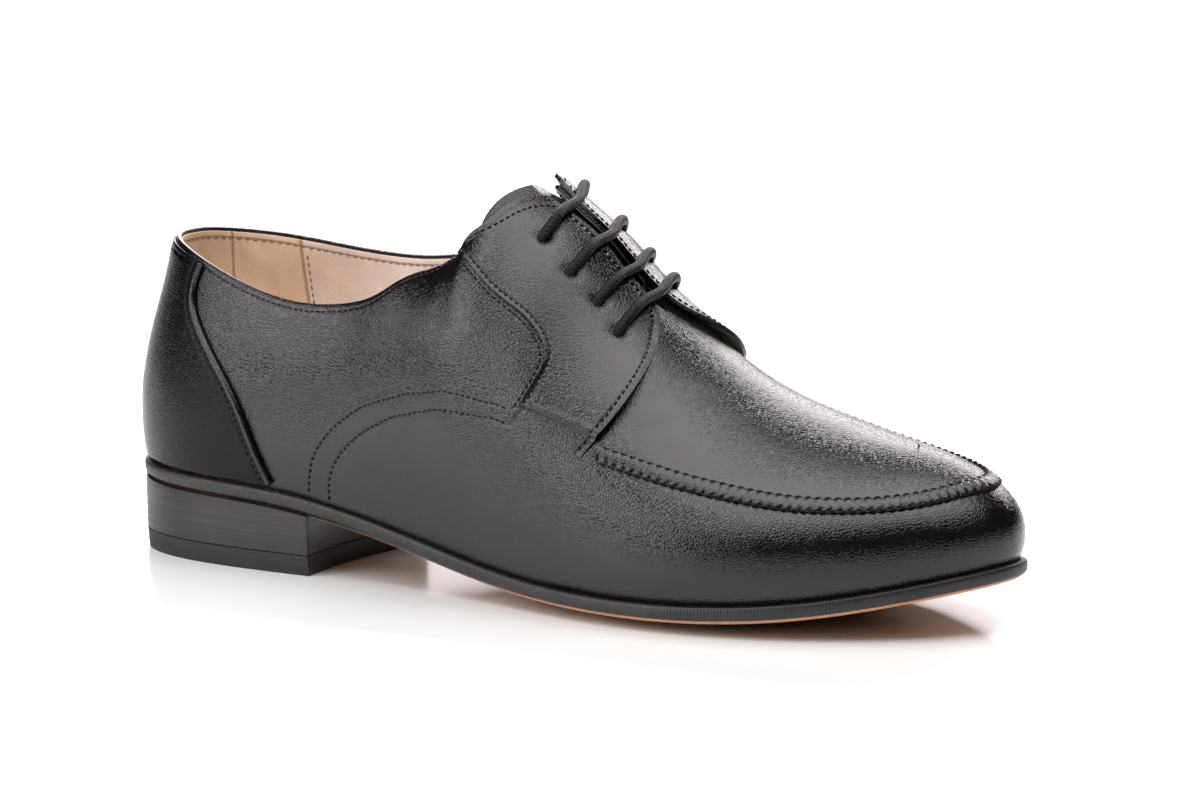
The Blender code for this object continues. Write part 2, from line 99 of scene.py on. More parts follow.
FACING_TUCK = 0.035
TUCK_START = (138.0, 144.0)
TUCK_END = (172.0, 181.0)
HEEL_LINING = 37.4
BACK_STRIP = 13.4
LINING_PEBBLE = 0.0016
HOLE_DENT = 0.75
HOLE_DENT_WIDTH = 2.3

# Lapped side wall, stitch rows pressed into the leather and puckers of the apron: heights and width in mm
LAP_HEIGHT = 0.22
ROW_DENT = 0.07
ROW_DENT_WIDTH = 0.8
PUCKER_HEIGHT = 0.09

# Stitch rows in mm: in from the facing's front, rear and top edges, out from its rear seam, back from the
# counter's seam, below the collar outside and inside, out from the middle of the apron seam; then where the
# collar's row starts and ends, as shares of the wall's columns
FRONT_ROW = 2.1
REAR_ROW = 1.7
TOP_ROW = 2.1
OUTER_ROW = 1.9
COUNTER_ROW = 2.6
COLLAR_ROW = 2.3
LINING_ROW = 3.0
APRON_ROW = 2.3
COLLAR_ENDS = (0.14, 0.62)

# Threads in mm: width of the apron's thread, pitch of the lining's stitches in outer stitches, lift of its
# thread off the lining, dip of a stitch in thread widths and points along it
APRON_THREAD = 0.8
LINING_PITCH = 1.2
THREAD_SEAT = 0.05
STITCH_DIP = 1.25
STITCH_SAMPLES = 8

# Piping of the counter and lace in mm: radius and lift of the piping, how deep a lace's ends go, its sides
PIPING_RADIUS = 1.05
PIPING_LIFT = 0.75
LACE_DEPTH = 2.4
LACE_SIDES = 20

# How far in the facing's foot turns below its fold, and how its top rear corner sinks into the collar
FOOT_TURN = 0.5
CORNER_SHARE = 0.3
CORNER_REACH = 14.0
FACING_TOP_RUN = 40.0
FACING_REAR_RUN = 75.0

# Where the facing's lower edge crosses its panel: share of the height at the rear seam, at the front edge
FACING_FOOT = (0.150, 0.092)

# Bow of each facing's front edge off the vamp: height in mm, place up the edge
BOW = {-1: (1.6, 0.30), 1: (1.7, 0.46)}

# Sole outline: x, half_width, centre
OUTLINE = (
    (0, 0.0, 0.0), (12, 22.5, 0.0), (36, 31.8, 0.0), (70, 33.2, -0.5), (105, 31.8, -2.5), (140, 34.5, -5.0),
    (175, 43.0, -4.4), (208, 48.6, -2.0), (240, 46.2, 1.2), (265, 36.8, 3.4), (286, 21.8, 4.6),
    (LENGTH, 0.0, 4.8))

# Side view of the sole: x, height of its top, hang of its middle below its edge
SIDE = (
    (0, 27.5, 0.0), (35, 26.0, 0.0), (75, 23.5, 0.0), (110, 17.0, 1.0), (150, 10.0, 3.0), (185, 8.0, 4.6),
    (215, 8.3, 4.6), (250, 11.0, 2.6), (280, 16.5, 1.0), (LENGTH, 20.0, 0.0))

# Sections of the last: foot_x, top_x, crest_y, top_half, top_z, medial_rise, lean, flare, top_pull
SECTIONS = (
    (0, 12.5, 0.0, 0.0, 96.8, 0.0, 10, 10, 0.38),
    (12, 16.5, 0.0, 13.0, 96.0, 0.0, 10, 11, 0.38),
    (36, 34.5, 0.0, 25.5, 92.0, 1.5, 12, 13, 0.38),
    (70, 68.0, -0.3, 30.5, 83.0, 7.0, 15, 13, 0.38),
    (97, 94.0, -1.2, 31.0, 83.8, 8.0, 22, 12, 0.38),
    (113, 110.0, -1.8, 28.0, 91.5, 7.5, 35, 13, 0.40),
    (124, 123.0, -2.2, 20.0, 105.0, 5.0, 49, 14, 0.42),
    (133, 133.0, -2.4, 9.0, 116.5, 2.0, 68, 15, 0.42),
    (142, 140.5, -2.4, 0.0, 119.8, 0.0, 88, 16, 0.42),
    (151, 150.0, -2.0, 0.0, 112.6, 0.0, 90, 17, 0.42),
    (161, 161.0, -1.5, 0.0, 104.4, 0.0, 90, 18, 0.42),
    (171, 170.5, -0.8, 0.0, 95.0, 0.0, 90, 20, 0.42),
    (182, 181.0, 0.6, 0.0, 85.2, 0.0, 90, 22, 0.42),
    (195, 194.0, 2.8, 0.0, 75.2, 0.0, 90, 24, 0.42),
    (208, 206.5, 4.6, 0.0, 67.0, 0.0, 90, 26, 0.42),
    (222, 220.0, 6.0, 0.0, 61.0, 0.0, 90, 27, 0.42),
    (240, 236.0, 6.8, 0.0, 56.2, 0.0, 90, 28, 0.42),
    (270, 254.0, 6.8, 0.0, 52.0, 0.0, 90, 26, 0.43),
    (LENGTH, 263.0, 6.4, 0.0, 50.2, 0.0, 90, 20, 0.44))

# Rim of the upper: foot_x, lateral_x, lateral, medial_x, medial (x on the chart, height on the chart)
RIM = (
    (0, 0, 1.0, 0, 1.0), (40, 40, 1.0, 40, 1.0), (80, 80, 1.0, 80, 1.0), (100, 100, 0.997, 100, 0.997),
    (110, 110, 0.984, 110, 0.970), (118, 119, 0.94, 118, 0.905), (126, 130.5, 0.80, 125.5, 0.826),
    (132, 137, 0.742, 130.5, 0.800), (138, 142.3, 0.730, 134.5, 0.820), (143, 145.6, 0.775, 137.6, 0.845),
    (147, 147.0, 0.877, 139.4, 0.885), (151, 149, 0.945, 142.2, 0.945), (156, 155, 0.97, 151, 0.965),
    (166, 166, 0.972, 164, 0.972), (176, 176, 0.972, 175, 0.972))

# Rear seam of the facing, from its foot up: lateral_x, lateral, medial_x, medial
FACING_REAR = (
    (160.3, 0.345, 160.5, 0.500), (164.8, 0.405, 164.5, 0.530), (168.6, 0.490, 168.0, 0.570),
    (169.4, 0.565, 168.0, 0.615), (162.5, 0.602, 160.0, 0.640), (152.0, 0.612, 148.0, 0.652),
    (143.5, 0.650, 138.0, 0.700), (137.0, 0.722, 131.2, 0.777))

# Front and throat edge of the facing, from its foot up: lateral_x, lateral, medial_x, medial
FACING_FRONT = (
    (185.4, 0.378, 187.0, 0.540), (190.0, 0.470, 191.0, 0.590), (193.0, 0.580, 194.0, 0.650),
    (193.4, 0.690, 195.5, 0.720), (191.6, 0.800, 194.5, 0.810), (187.3, 0.900, 189.0, 0.900),
    (181.5, 0.956, 181.0, 0.956), (171.0, 0.966, 169.0, 0.966), (160.6, 0.970, 156.0, 0.967),
    (149.4, 0.950, 142.6, 0.945))

# Top edge of the facing, from its rear seam to the throat: lateral_x, lateral, medial_x, medial
FACING_TOP = (
    (137.0, 0.722, 131.2, 0.777), (143.0, 0.728, 135.2, 0.817), (146.0, 0.785, 137.8, 0.846),
    (147.3, 0.880, 139.6, 0.885), (149.4, 0.950, 142.6, 0.945))

# Seam of the heel counter: height on the chart, foot_x
COUNTER = ((0.0, 65.0), (0.17, 60.0), (0.41, 54.0), (0.66, 42.0), (0.81, 35.5), (1.0, 38.0))

# Raised apron seam round the toe: foot_x, lateral, medial (heights on the chart)
APRON = (
    (188, 0.410, 0.580), (198, 0.422, 0.620), (214, 0.438, 0.655), (228, 0.440, 0.668), (241, 0.439, 0.660),
    (255, 0.447, 0.645), (270, 0.463, 0.630), (281, 0.487, 0.610), (290, 0.525, 0.580),
    (LENGTH, 0.555, 0.555))

# Where the apron seam comes out from under each facing: lateral foot_x, medial foot_x
APRON_START = {-1: 190.0, 1: 198.5}

# Lower edges of the tongue under the facings: foot_x, height on the chart
TONGUE = ((147, 0.64), (152, 0.69), (160, 0.74), (170, 0.77), (180, 0.80), (192, 0.86))

# Lace holes, a row for each bar from the top down:
# lateral_x, lateral, medial_x, medial, lateral_lift, medial_lift
LACE_HOLES = (
    (156.5, 0.825, 148.0, 0.860, 0.8, 0.7), (166.0, 0.805, 159.5, 0.840, 0.3, 0.2),
    (174.7, 0.802, 169.0, 0.840, 0.1, 0.3), (182.6, 0.768, 177.0, 0.830, 0.2, 0.8))

# Side profile of the sole from its top face to its bottom face: inset, drop
SOLE_EDGE = ((4.0, 0.0), (0.9, 0.0), (0.2, 0.5), (0.0, 1.4), (0.2, 3.2), (0.8, 4.0), (1.9, 5.0))

# Outer stitch row of the side wall, from the sole up to the facing's foot: foot_x, height on the chart
SIDE_WALL = (
    (77.6, 0.0), (79.1, 0.097), (81.3, 0.196), (85.1, 0.288), (91.1, 0.387), (98.9, 0.471), (108.4, 0.516),
    (119.5, 0.486), (126.1, 0.438), (131.9, 0.396), (137.6, 0.367), (142.7, 0.350), (148.8, 0.354),
    (155.7, 0.370), (160.0, 0.376))

# Inner stitch row of the side wall: foot_x, height on the chart
SIDE_WALL_INNER = (
    (85.5, 0.0), (85.8, 0.067), (87.4, 0.145), (90.9, 0.232), (96.3, 0.315), (104.4, 0.395), (114.0, 0.427),
    (119.9, 0.413), (124.7, 0.388), (130.6, 0.356), (135.6, 0.334), (141.6, 0.314), (147.9, 0.318),
    (154.6, 0.336), (159.8, 0.342))

# Where both rows of the side wall run on under each facing: foot_x, height on the chart
UNDER_FACING = {
    -1: ((164.0, 0.360), (168.5, 0.410), (172.5, 0.490), (175.0, 0.560)),
    1: ((163.0, 0.405), (165.5, 0.460), (167.0, 0.530), (168.0, 0.600))}

# Soft creases pressed in: foot_x and height at each end, side, depth, width in mm
CREASES = (
    (197.0, 0.62, 203.0, 0.76, -1, 0.22, 2.0), (199.5, 0.52, 206.0, 0.64, -1, 0.18, 1.8),
    (204.0, 0.70, 213.0, 0.86, -1, 0.16, 2.4), (267.0, 0.00, 268.5, 0.06, -1, 0.22, 1.6),
    (204.0, 0.78, 212.0, 0.92, 1, 0.20, 2.2), (120.0, 0.10, 128.0, 0.26, 1, 0.25, 2.6),
    (62.0, 0.55, 96.0, 0.46, -1, 0.20, 5.0), (66.0, 0.52, 98.0, 0.44, 1, 0.25, 5.0))

# Padding that evens the quarter out behind the facing: x, spread, low z, full z, height in mm
QUARTER_FILL = ((108.0, 11.5, 66.0, 92.0, 2.1), (132.5, 6.5, 66.0, 92.0, -1.6))

# Ripple left by the lasting: waves a mm along x, y and z, phase, height in mm
RIPPLE = ((0.21, 0.05, 0.13, 0.4, 0.035), (-0.12, 0.17, 0.23, 1.9, 0.030), (0.08, -0.22, 0.31, 3.1, 0.022))

# Studio in metres: half size of the floor, half length and half width of its patch round the shoe that the
# painted glow keeps clear of, what the camera looks at, its sensor in mm, what the lights look at, and the
# brightness of the room
FLOOR_SIZE = 6.0
SHADE_HALF = (0.135, 0.045)
CAMERA_TARGET = (0.01224, 0.00124, 0.05589)
SENSOR_WIDTH = 36.0
LIGHT_TARGET = (0.0, 0.0, 0.05)
ROOM_LIGHT = 0.015

# Lights: name of the power in the settings, place, width, height
LIGHTS = (
    ("side_light", (-1.17, -1.50, 0.68), 1.6, 1.0), ("front_light", (-0.32, -1.45, 1.45), 0.9, 0.8),
    ("top_light", (0.15, -0.13, 1.60), 2.1, 1.76), ("back_light", (-0.67, 1.65, 0.80), 2.1, 0.85))


def station(x):
    """Place along the sole's outline, 0 at the back of the heel and 1 at the toe tip."""
    return np.arccos(np.clip(1.0 - 2.0 * np.asarray(x, float) / LENGTH, -1.0, 1.0)) / np.pi


def along(s):
    """Distance from the back of the heel at a station."""
    return LENGTH * (1.0 - np.cos(np.pi * s)) / 2.0


def spline(knots, values, flat=True):
    """Smooth cubic through the rows of a table; flat ends have no slope, free ends no curvature."""
    knots = np.asarray(knots, float)
    values = np.asarray(values, float)
    count = len(knots)
    step = np.diff(knots)
    rate = np.diff(values) / step
    matrix = np.zeros((count, count))
    right = np.zeros(count)
    for i in range(1, count - 1):
        matrix[i, i - 1:i + 2] = step[i], 2.0 * (step[i - 1] + step[i]), step[i - 1]
        right[i] = 3.0 * (step[i] * rate[i - 1] + step[i - 1] * rate[i])
    if flat:
        matrix[0, 0] = matrix[-1, -1] = 1.0
    else:
        matrix[0, :2] = 2.0, 1.0
        matrix[-1, -2:] = 1.0, 2.0
        right[0] = 3.0 * rate[0]
        right[-1] = 3.0 * rate[-1]
    slope = np.linalg.solve(matrix, right)

    def curve(place):
        place = np.clip(np.asarray(place, float), knots[0], knots[-1])
        i = np.clip(np.searchsorted(knots, place, side="right") - 1, 0, count - 2)
        t = (place - knots[i]) / step[i]
        start = (1 + 2 * t) * (1 - t) ** 2 * values[i] + t * (1 - t) ** 2 * step[i] * slope[i]
        return start + t * t * (3 - 2 * t) * values[i + 1] + t * t * (t - 1) * step[i] * slope[i + 1]
    return curve


def column(table, index, flat=True):
    """One column of a table as a smooth function of the station of its first column."""
    rows = np.array(table, float)
    return spline(station(rows[:, 0]), rows[:, index], flat)


def path(table, index):
    """One column of a table as a smooth function of the row, 0 at the first and 1 at the last."""
    rows = np.array(table, float)
    return spline(np.linspace(0.0, 1.0, len(rows)), rows[:, index], flat=False)


half_width = column(OUTLINE, 1, flat=False)
centre = column(OUTLINE, 2)
sole_top = column(SIDE, 1)
sole_hang = column(SIDE, 2)
top_x, crest_y, top_half, top_z, medial_rise, lean, flare, top_pull = (
    column(SECTIONS, i, flat=(i != 3)) for i in range(1, 9))


def vector(x, y, z):
    """Stack coordinates into points."""
    x, y, z = np.broadcast_arrays(x, y, z)
    return np.stack([x, y, z], axis=-1)


def unit(rows):
    """Rows of vectors at length 1."""
    return rows / np.maximum(np.linalg.norm(rows, axis=-1, keepdims=True), 1e-12)


def outline_y(s, side):
    """Side place of the sole's outline; past the toe or the heel it runs on along the other side."""
    past = (s < 0.0) | (s > 1.0)
    inside = np.where(s > 1.0, 2.0 - s, np.abs(s))
    return centre(inside) + np.where(past, -side, side) * half_width(inside)


def outline_normal(s, side):
    """Outward direction of the sole's outline in plan."""
    tiny = 1e-4
    dx = along(s + tiny) - along(s - tiny)
    dy = outline_y(s + tiny, side) - outline_y(s - tiny, side)
    size = np.maximum(np.hypot(dx, dy), 1e-12)
    return vector(-side * dy / size, side * dx / size, 0.0 * dx)


def outline(s, side, inset=0.0):
    """Point of the sole's outline in plan, moved in by an inset."""
    edge = vector(along(s), centre(s) + side * half_width(s), 0.0 * s)
    return edge - np.asarray(inset)[..., None] * outline_normal(s, side)


def crest_half(s):
    """Half width of the top, eased to nothing where the throat starts."""
    begin, end = THROAT_EASE
    x = along(s)
    width = top_half(station(begin))
    slope = (width - top_half(station(begin - 1.0))) * (end - begin)
    t = np.clip((x - begin) / (end - begin), 0.0, 1.0)
    eased = (1 + 2 * t) * (1 - t) ** 2 * width + t * (1 - t) ** 2 * slope
    return np.where(x < begin, np.maximum(top_half(s), 0.0), np.maximum(eased, 0.0))


def last(s, v, side):
    """Outer skin of the upper: each station is one Bezier from the sole (v = 0) to the top (v = 1)."""
    s, v, side = np.broadcast_arrays(np.asarray(s, float), np.asarray(v, float), np.asarray(side, float))
    out = outline_normal(s, side)
    foot = outline(s, side, WELT + 0.0 * s) + vector(0.0 * s, 0.0 * s, sole_top(s) + GAP)
    rise = np.where(side > 0, medial_rise(s), 0.0)
    crest = vector(top_x(s), crest_y(s) + side * crest_half(s), top_z(s) + rise)
    before = np.clip(s - RIDGE_SPAN, 0.0, 1.0)
    after = np.clip(s + RIDGE_SPAN, 0.0, 1.0)
    run = top_x(after) - top_x(before)
    fall = top_z(after) - top_z(before)
    size = np.maximum(np.hypot(run, fall), 1e-9)
    ridge_up = vector(-fall / size, 0.0 * run, run / size)
    crown = np.clip((lean(s) - CROWN_LEAN) / (90.0 - CROWN_LEAN), 0.0, 1.0)
    crown = (crown * crown * (3.0 - 2.0 * crown))[..., None]
    across = out - crown * (out * ridge_up).sum(-1, keepdims=True) * ridge_up
    up = np.array([0.0, 0.0, 1.0])
    tilt = np.radians(lean(s))[..., None]
    spread = np.radians(flare(s))[..., None]
    chord = np.linalg.norm(crest - foot, axis=-1, keepdims=True)
    low = foot + (np.cos(spread) * up + np.sin(spread) * out) * chord * LOW_PULL
    high = crest + (np.sin(tilt) * across - np.cos(tilt) * up) * chord * top_pull(s)[..., None]
    v = v[..., None]
    return (1 - v) ** 3 * foot + 3 * v * (1 - v) ** 2 * low + 3 * v * v * (1 - v) * high + v ** 3 * crest


def around(s, v, side):
    """Outer skin where a station past the toe or the heel runs on along the other side."""
    past = (s < 0.0) | (s > 1.0)
    s = np.where(s > 1.0, 2.0 - s, np.abs(s))
    return last(s, v, np.where(past, -side, side))


def skin_normal(s, v, side):
    """Outward direction of the skin."""
    s, v, side = np.broadcast_arrays(np.asarray(s, float), np.asarray(v, float), np.asarray(side, float))
    tiny = 1e-4
    along_s = around(s + tiny, v, side) - around(s - tiny, v, side)
    along_v = last(s, v + tiny, side) - last(s, v - tiny, side)
    return unit(np.cross(along_s, along_v) * -side[..., None])


def skin(s, v, side, lift):
    """Point of the skin moved out along its normal by a lift."""
    return last(s, v, side) + skin_normal(s, v, side) * np.asarray(lift, float)[..., None]


def nearest(points, line):
    """Distance from each point to a line of points, and how far along the line it lies."""
    run = line_run(line)
    gap = np.empty(len(points))
    place = np.empty(len(points))
    for start in range(0, len(points), 4000):
        chunk = points[start:start + 4000]
        apart = np.linalg.norm(chunk[:, None, :] - line[None, :, :], axis=-1)
        close = np.argmin(apart, axis=1)
        gap[start:start + 4000] = apart[np.arange(len(chunk)), close]
        place[start:start + 4000] = run[close]
    return gap, place


def line_run(line):
    """Distance along a line of points."""
    return np.concatenate([[0.0], np.cumsum(np.linalg.norm(np.diff(line, axis=0), axis=1))])


def chart_line(table, count=400):
    """Stations and heights along a smooth line through rows of foot_x and height."""
    t = np.linspace(0.0, 1.0, count)
    return station(path(table, 0)(t)), path(table, 1)(t)


def apron_line(side, count=500):
    """Stations and heights of the apron seam on one side, from its facing to the toe tip."""
    s = np.linspace(station(APRON_START[side]), 1.0, count)
    return s, column(APRON, 1 if side < 0 else 2)(s)


def step_up(value, low, high):
    """Smooth step from 0 at low to 1 at high."""
    t = np.clip((value - low) / (high - low), 0.0, 1.0)
    return t * t * (3.0 - 2.0 * t)


def hump(distance, width):
    """Soft hump of height 1 that fades with the distance from its middle."""
    return np.exp(-(distance / width) ** 2)


def side_wall_gap(points, s, v, side, table=SIDE_WALL):
    """Signed distance to a stitch row of the side wall and on under the facing; positive above it."""
    line_s, line_v = chart_line(table + UNDER_FACING[side])
    gap = nearest(points, last(line_s, line_v, side))[0]
    edge = np.interp(s, line_s, line_v, left=-1.0, right=2.0)
    return np.where(v > edge, gap, -gap)


def apron_gap(points, s, v, side):
    """Signed distance to the apron seam, positive on the apron, and the run along the seam."""
    line_s, line_v = apron_line(side)
    gap, run = nearest(points, last(line_s, line_v, side))
    edge = column(APRON, 1 if side < 0 else 2)(s)
    gap = np.where(v > edge, gap, -gap)
    return np.where(s < station(APRON_START[side]) - 0.01, 99.0, gap), run


def quarter_fill(points):
    """Height that evens the quarter out between the ankle and the facing."""
    x, z = points[:, 0], points[:, 2]
    height = np.zeros(len(points))
    for place, spread, low, full, size in QUARTER_FILL:
        height += size * hump(x - place, spread) * step_up(z, low, full)
    return height


def relief(s, v, side):
    """Height of the leather over the last: lapped side wall, puckers at the apron, creases and ripple."""
    shape = s.shape
    s, v = s.ravel(), v.ravel()
    points = last(s, v, side)
    wall = side_wall_gap(points, s, v, side)
    rear = 1.0 - step_up(along(s), 160.0, 178.0)
    height = rear * (LAP_HEIGHT * step_up(-wall, -1.6, -0.9) - ROW_DENT * hump(wall, ROW_DENT_WIDTH))
    inner_row = SIDE_WALL_INNER if side < 0 else SIDE_WALL_INNER + UNDER_FACING[side]
    gap = nearest(points, last(*chart_line(inner_row), side))[0]
    height -= ROW_DENT * hump(gap, ROW_DENT_WIDTH)
    gap, run = apron_gap(points, s, v, side)
    away = np.maximum(np.abs(gap) - 2.0, 0.0)
    fade = np.where(gap > 0.0, 3.0, 1.6)
    pitch = sizes().apron_pitch / MM
    pucker = np.exp(-away / fade) * np.cos(2.0 * np.pi * run / pitch) * (np.abs(gap) < 20.0)
    height += PUCKER_HEIGHT * pucker * (1.0 - step_up(s, 0.96, 1.0))
    for x0, v0, x1, v1, crease_side, depth, width in CREASES:
        if crease_side == side:
            t = np.linspace(0.0, 1.0, 40)
            line = last(station(x0 + (x1 - x0) * t), v0 + (v1 - v0) * t, side)
            gap, run = nearest(points, line)
            ends = np.sin(np.pi * np.clip(run / line_run(line)[-1], 0.02, 0.98)) ** 0.6
            height -= depth * ends * hump(gap, width)
    height += quarter_fill(points)
    for wave_x, wave_y, wave_z, phase, size in RIPPLE:
        wave = points @ np.array([wave_x, wave_y, wave_z]) + phase
        height += size * np.sin(wave) * np.sin(0.37 * wave + phase)
    return height.reshape(shape)


def sizes():
    """Sizes of the shoe that a user may change."""
    return bpy.context.scene.shoe_sizes


def colours():
    """Colours of the shoe that a user may change."""
    return bpy.context.scene.shoe_colours


def grid_in(bm, columns, rows):
    """New grid in a mesh, with the place of each vertex from 0 to 1 both ways."""
    grid = bmesh.ops.create_grid(bm, x_segments=columns, y_segments=rows, size=0.5)["verts"]
    return grid, np.array([vert.co[:2] for vert in grid], float) + 0.5


def finish_piece(name, bm, material, nodes=(), lining=None):
    """Piece in metres about the middle of the footprint, shaded smooth, riding on the shoe."""
    mesh = bpy.data.meshes.new(name)
    bm.to_mesh(mesh)
    bm.free()
    mesh.transform(Matrix.Scale(MM, 4) @ Matrix.Translation([-value for value in MIDDLE]))
    mesh.materials.append(material)
    if lining is not None:
        mesh.materials.append(lining)
    mesh.shade_smooth()
    mesh.set_sharp_from_angle(angle=math.radians(SHARP_ANGLE))
    piece = bpy.data.objects.new(name, mesh)
    bpy.context.scene.collection.objects.link(piece)
    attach(piece, "root")
    if nodes:
        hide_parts(*nodes)
    return piece


def thick_sheet(name, patches, edge_round, material, nodes=(), marks=(), lining=None):
    """Closed sheet from welded grids; a patch is columns, rows and a place(c, r) of outer, inner, marks."""
    bm = bmesh.new()
    bm.verts.layers.float_vector.new("under")
    for mark_name in marks:
        bm.verts.layers.float.new(mark_name)
    under = bm.verts.layers.float_vector.get("under")
    for columns, rows, place in patches:
        grid, spots = grid_in(bm, columns, rows)
        outer, inner, values = place(spots[:, 0], spots[:, 1])
        for vert, outside, inside in zip(grid, outer, inner):
            vert.co = outside
            vert[under] = inside
        for mark_name in marks:
            layer = bm.verts.layers.float.get(mark_name)
            for vert, value in zip(grid, values[mark_name]):
                vert[layer] = value
    bmesh.ops.remove_doubles(bm, verts=bm.verts, dist=WELD)
    extruded = bmesh.ops.extrude_face_region(bm, geom=bm.faces[:], use_keep_orig=True)
    for item in extruded["geom"]:
        if isinstance(item, bmesh.types.BMVert):
            item.co = item[under]
        elif isinstance(item, bmesh.types.BMFace) and lining is not None:
            item.material_index = 1
    bmesh.ops.recalc_face_normals(bm, faces=bm.faces)
    if edge_round > 0.0:
        sharp = [edge for edge in bm.edges if edge.calc_face_angle(0.0) > math.radians(SHARP_ANGLE)]
        bmesh.ops.bevel(bm, geom=sharp, offset=edge_round, offset_type="OFFSET", segments=3, profile=0.5,
                        affect="EDGES", clamp_overlap=True, material=-1)
    bm.verts.layers.float_vector.remove(under)
    return finish_piece(name, bm, material, nodes, lining)


def resample(line, other, count):
    """Line of points and its companion rows, evenly spaced along the line."""
    run = line_run(line)
    fine = np.linspace(0.0, run[-1], count)
    spaced = np.stack([np.interp(fine, run, line[:, i]) for i in range(3)], axis=-1)
    paired = np.stack([np.interp(fine, run, other[:, i]) for i in range(3)], axis=-1)
    return spaced, unit(paired)


def tube_in(bm, middle, up, radius, sides):
    """Closed round tube along points in a mesh; up is a direction across it, radius one for each point."""
    forward = unit(np.gradient(middle, axis=0))
    across = unit(np.cross(forward, up))
    over = np.cross(across, forward)
    grid, spots = grid_in(bm, len(middle) - 1, sides)
    place = np.rint(spots[:, 0] * (len(middle) - 1)).astype(int)
    turn = 2.0 * np.pi * spots[:, 1]
    ring = np.cos(turn)[:, None] * over[place] + np.sin(turn)[:, None] * across[place]
    points = middle[place] + ring * radius[place][:, None]
    for vert, point in zip(grid, points):
        vert.co = point
    return grid


def closed_radius(count, size):
    """Radius at each point of a tube, nothing at both ends."""
    radius = np.full(count, size)
    radius[[0, -1]] = 0.0
    return radius


def stitch_row(bm, line, up, pitch, width, proud=0.12):
    """Row of stitches in a mesh: one thread that dips into the leather at each hole."""
    count = max(2, int(round(line_run(line)[-1] / pitch)))
    middle, normal = resample(line, up, count * STITCH_SAMPLES + 1)
    phase = (np.arange(len(middle)) % STITCH_SAMPLES) / STITCH_SAMPLES
    arch = np.sin(np.pi * phase)
    dip = STITCH_DIP * width
    middle = middle + normal * ((dip + proud) * arch - dip)[:, None]
    tube_in(bm, middle, normal, closed_radius(len(middle), width / 2), 6)


def close_tubes(bm):
    """Weld the seams and tips of the tubes in a mesh and turn their faces outwards."""
    bmesh.ops.remove_doubles(bm, verts=bm.verts, dist=WELD)
    bmesh.ops.recalc_face_normals(bm, faces=bm.faces)


def node(tree, kind, inputs=None, **settings):
    """New node with its settings; each input takes a value or another node's output."""
    made = tree.nodes.new(kind)
    for name, value in settings.items():
        setattr(made, name, value)
    for name, value in (inputs or {}).items():
        if isinstance(value, bpy.types.NodeSocket):
            tree.links.new(value, made.inputs[name])
        else:
            made.inputs[name].default_value = value
    return made


def maths(tree, operation, *values):
    """Output of a maths node on values or other outputs."""
    return node(tree, "ShaderNodeMath", dict(enumerate(values)), operation=operation).outputs[0]


def blend(tree, share, first, second):
    """Colour between two colours by a share."""
    made = node(tree, "ShaderNodeMix", {0: share, 6: first, 7: second}, data_type="RGBA")
    return made.outputs[2]


def span(tree, value, low, high, to_low, to_high):
    """Value moved from one range to another, kept inside it."""
    made = node(tree, "ShaderNodeMapRange", {0: value, 1: low, 2: high, 3: to_low, 4: to_high})
    return made.outputs[0]


def mottled(tree, value, to_low, to_high):
    """Noise with its middle part stretched to a range."""
    return span(tree, value, 0.3, 0.7, to_low, to_high)


def tint(colour, level=1.0):
    """Colour at a level, as a socket takes it."""
    return (*[level * value for value in colour], 1.0)


def object_noise(tree, scale, detail, roughness=0.5):
    """Noise fixed to the piece."""
    place = node(tree, "ShaderNodeTexCoord").outputs["Object"]
    inputs = {"Vector": place, "Scale": scale, "Detail": detail, "Roughness": roughness}
    return node(tree, "ShaderNodeTexNoise", inputs).outputs[0]


def mark(tree, name):
    """Number that a piece carries at each of its points."""
    return node(tree, "ShaderNodeAttribute", attribute_name=name).outputs["Fac"]


def group_tree(name, takes, gives):
    """New shader node group with number inputs and outputs."""
    tree = bpy.data.node_groups.new(name, "ShaderNodeTree")
    for socket, value in takes:
        made = tree.interface.new_socket(name=socket, in_out="INPUT", socket_type="NodeSocketFloat")
        made.default_value = value
    for socket in gives:
        tree.interface.new_socket(name=socket, in_out="OUTPUT", socket_type="NodeSocketFloat")
    return tree, node(tree, "NodeGroupInput"), node(tree, "NodeGroupOutput")


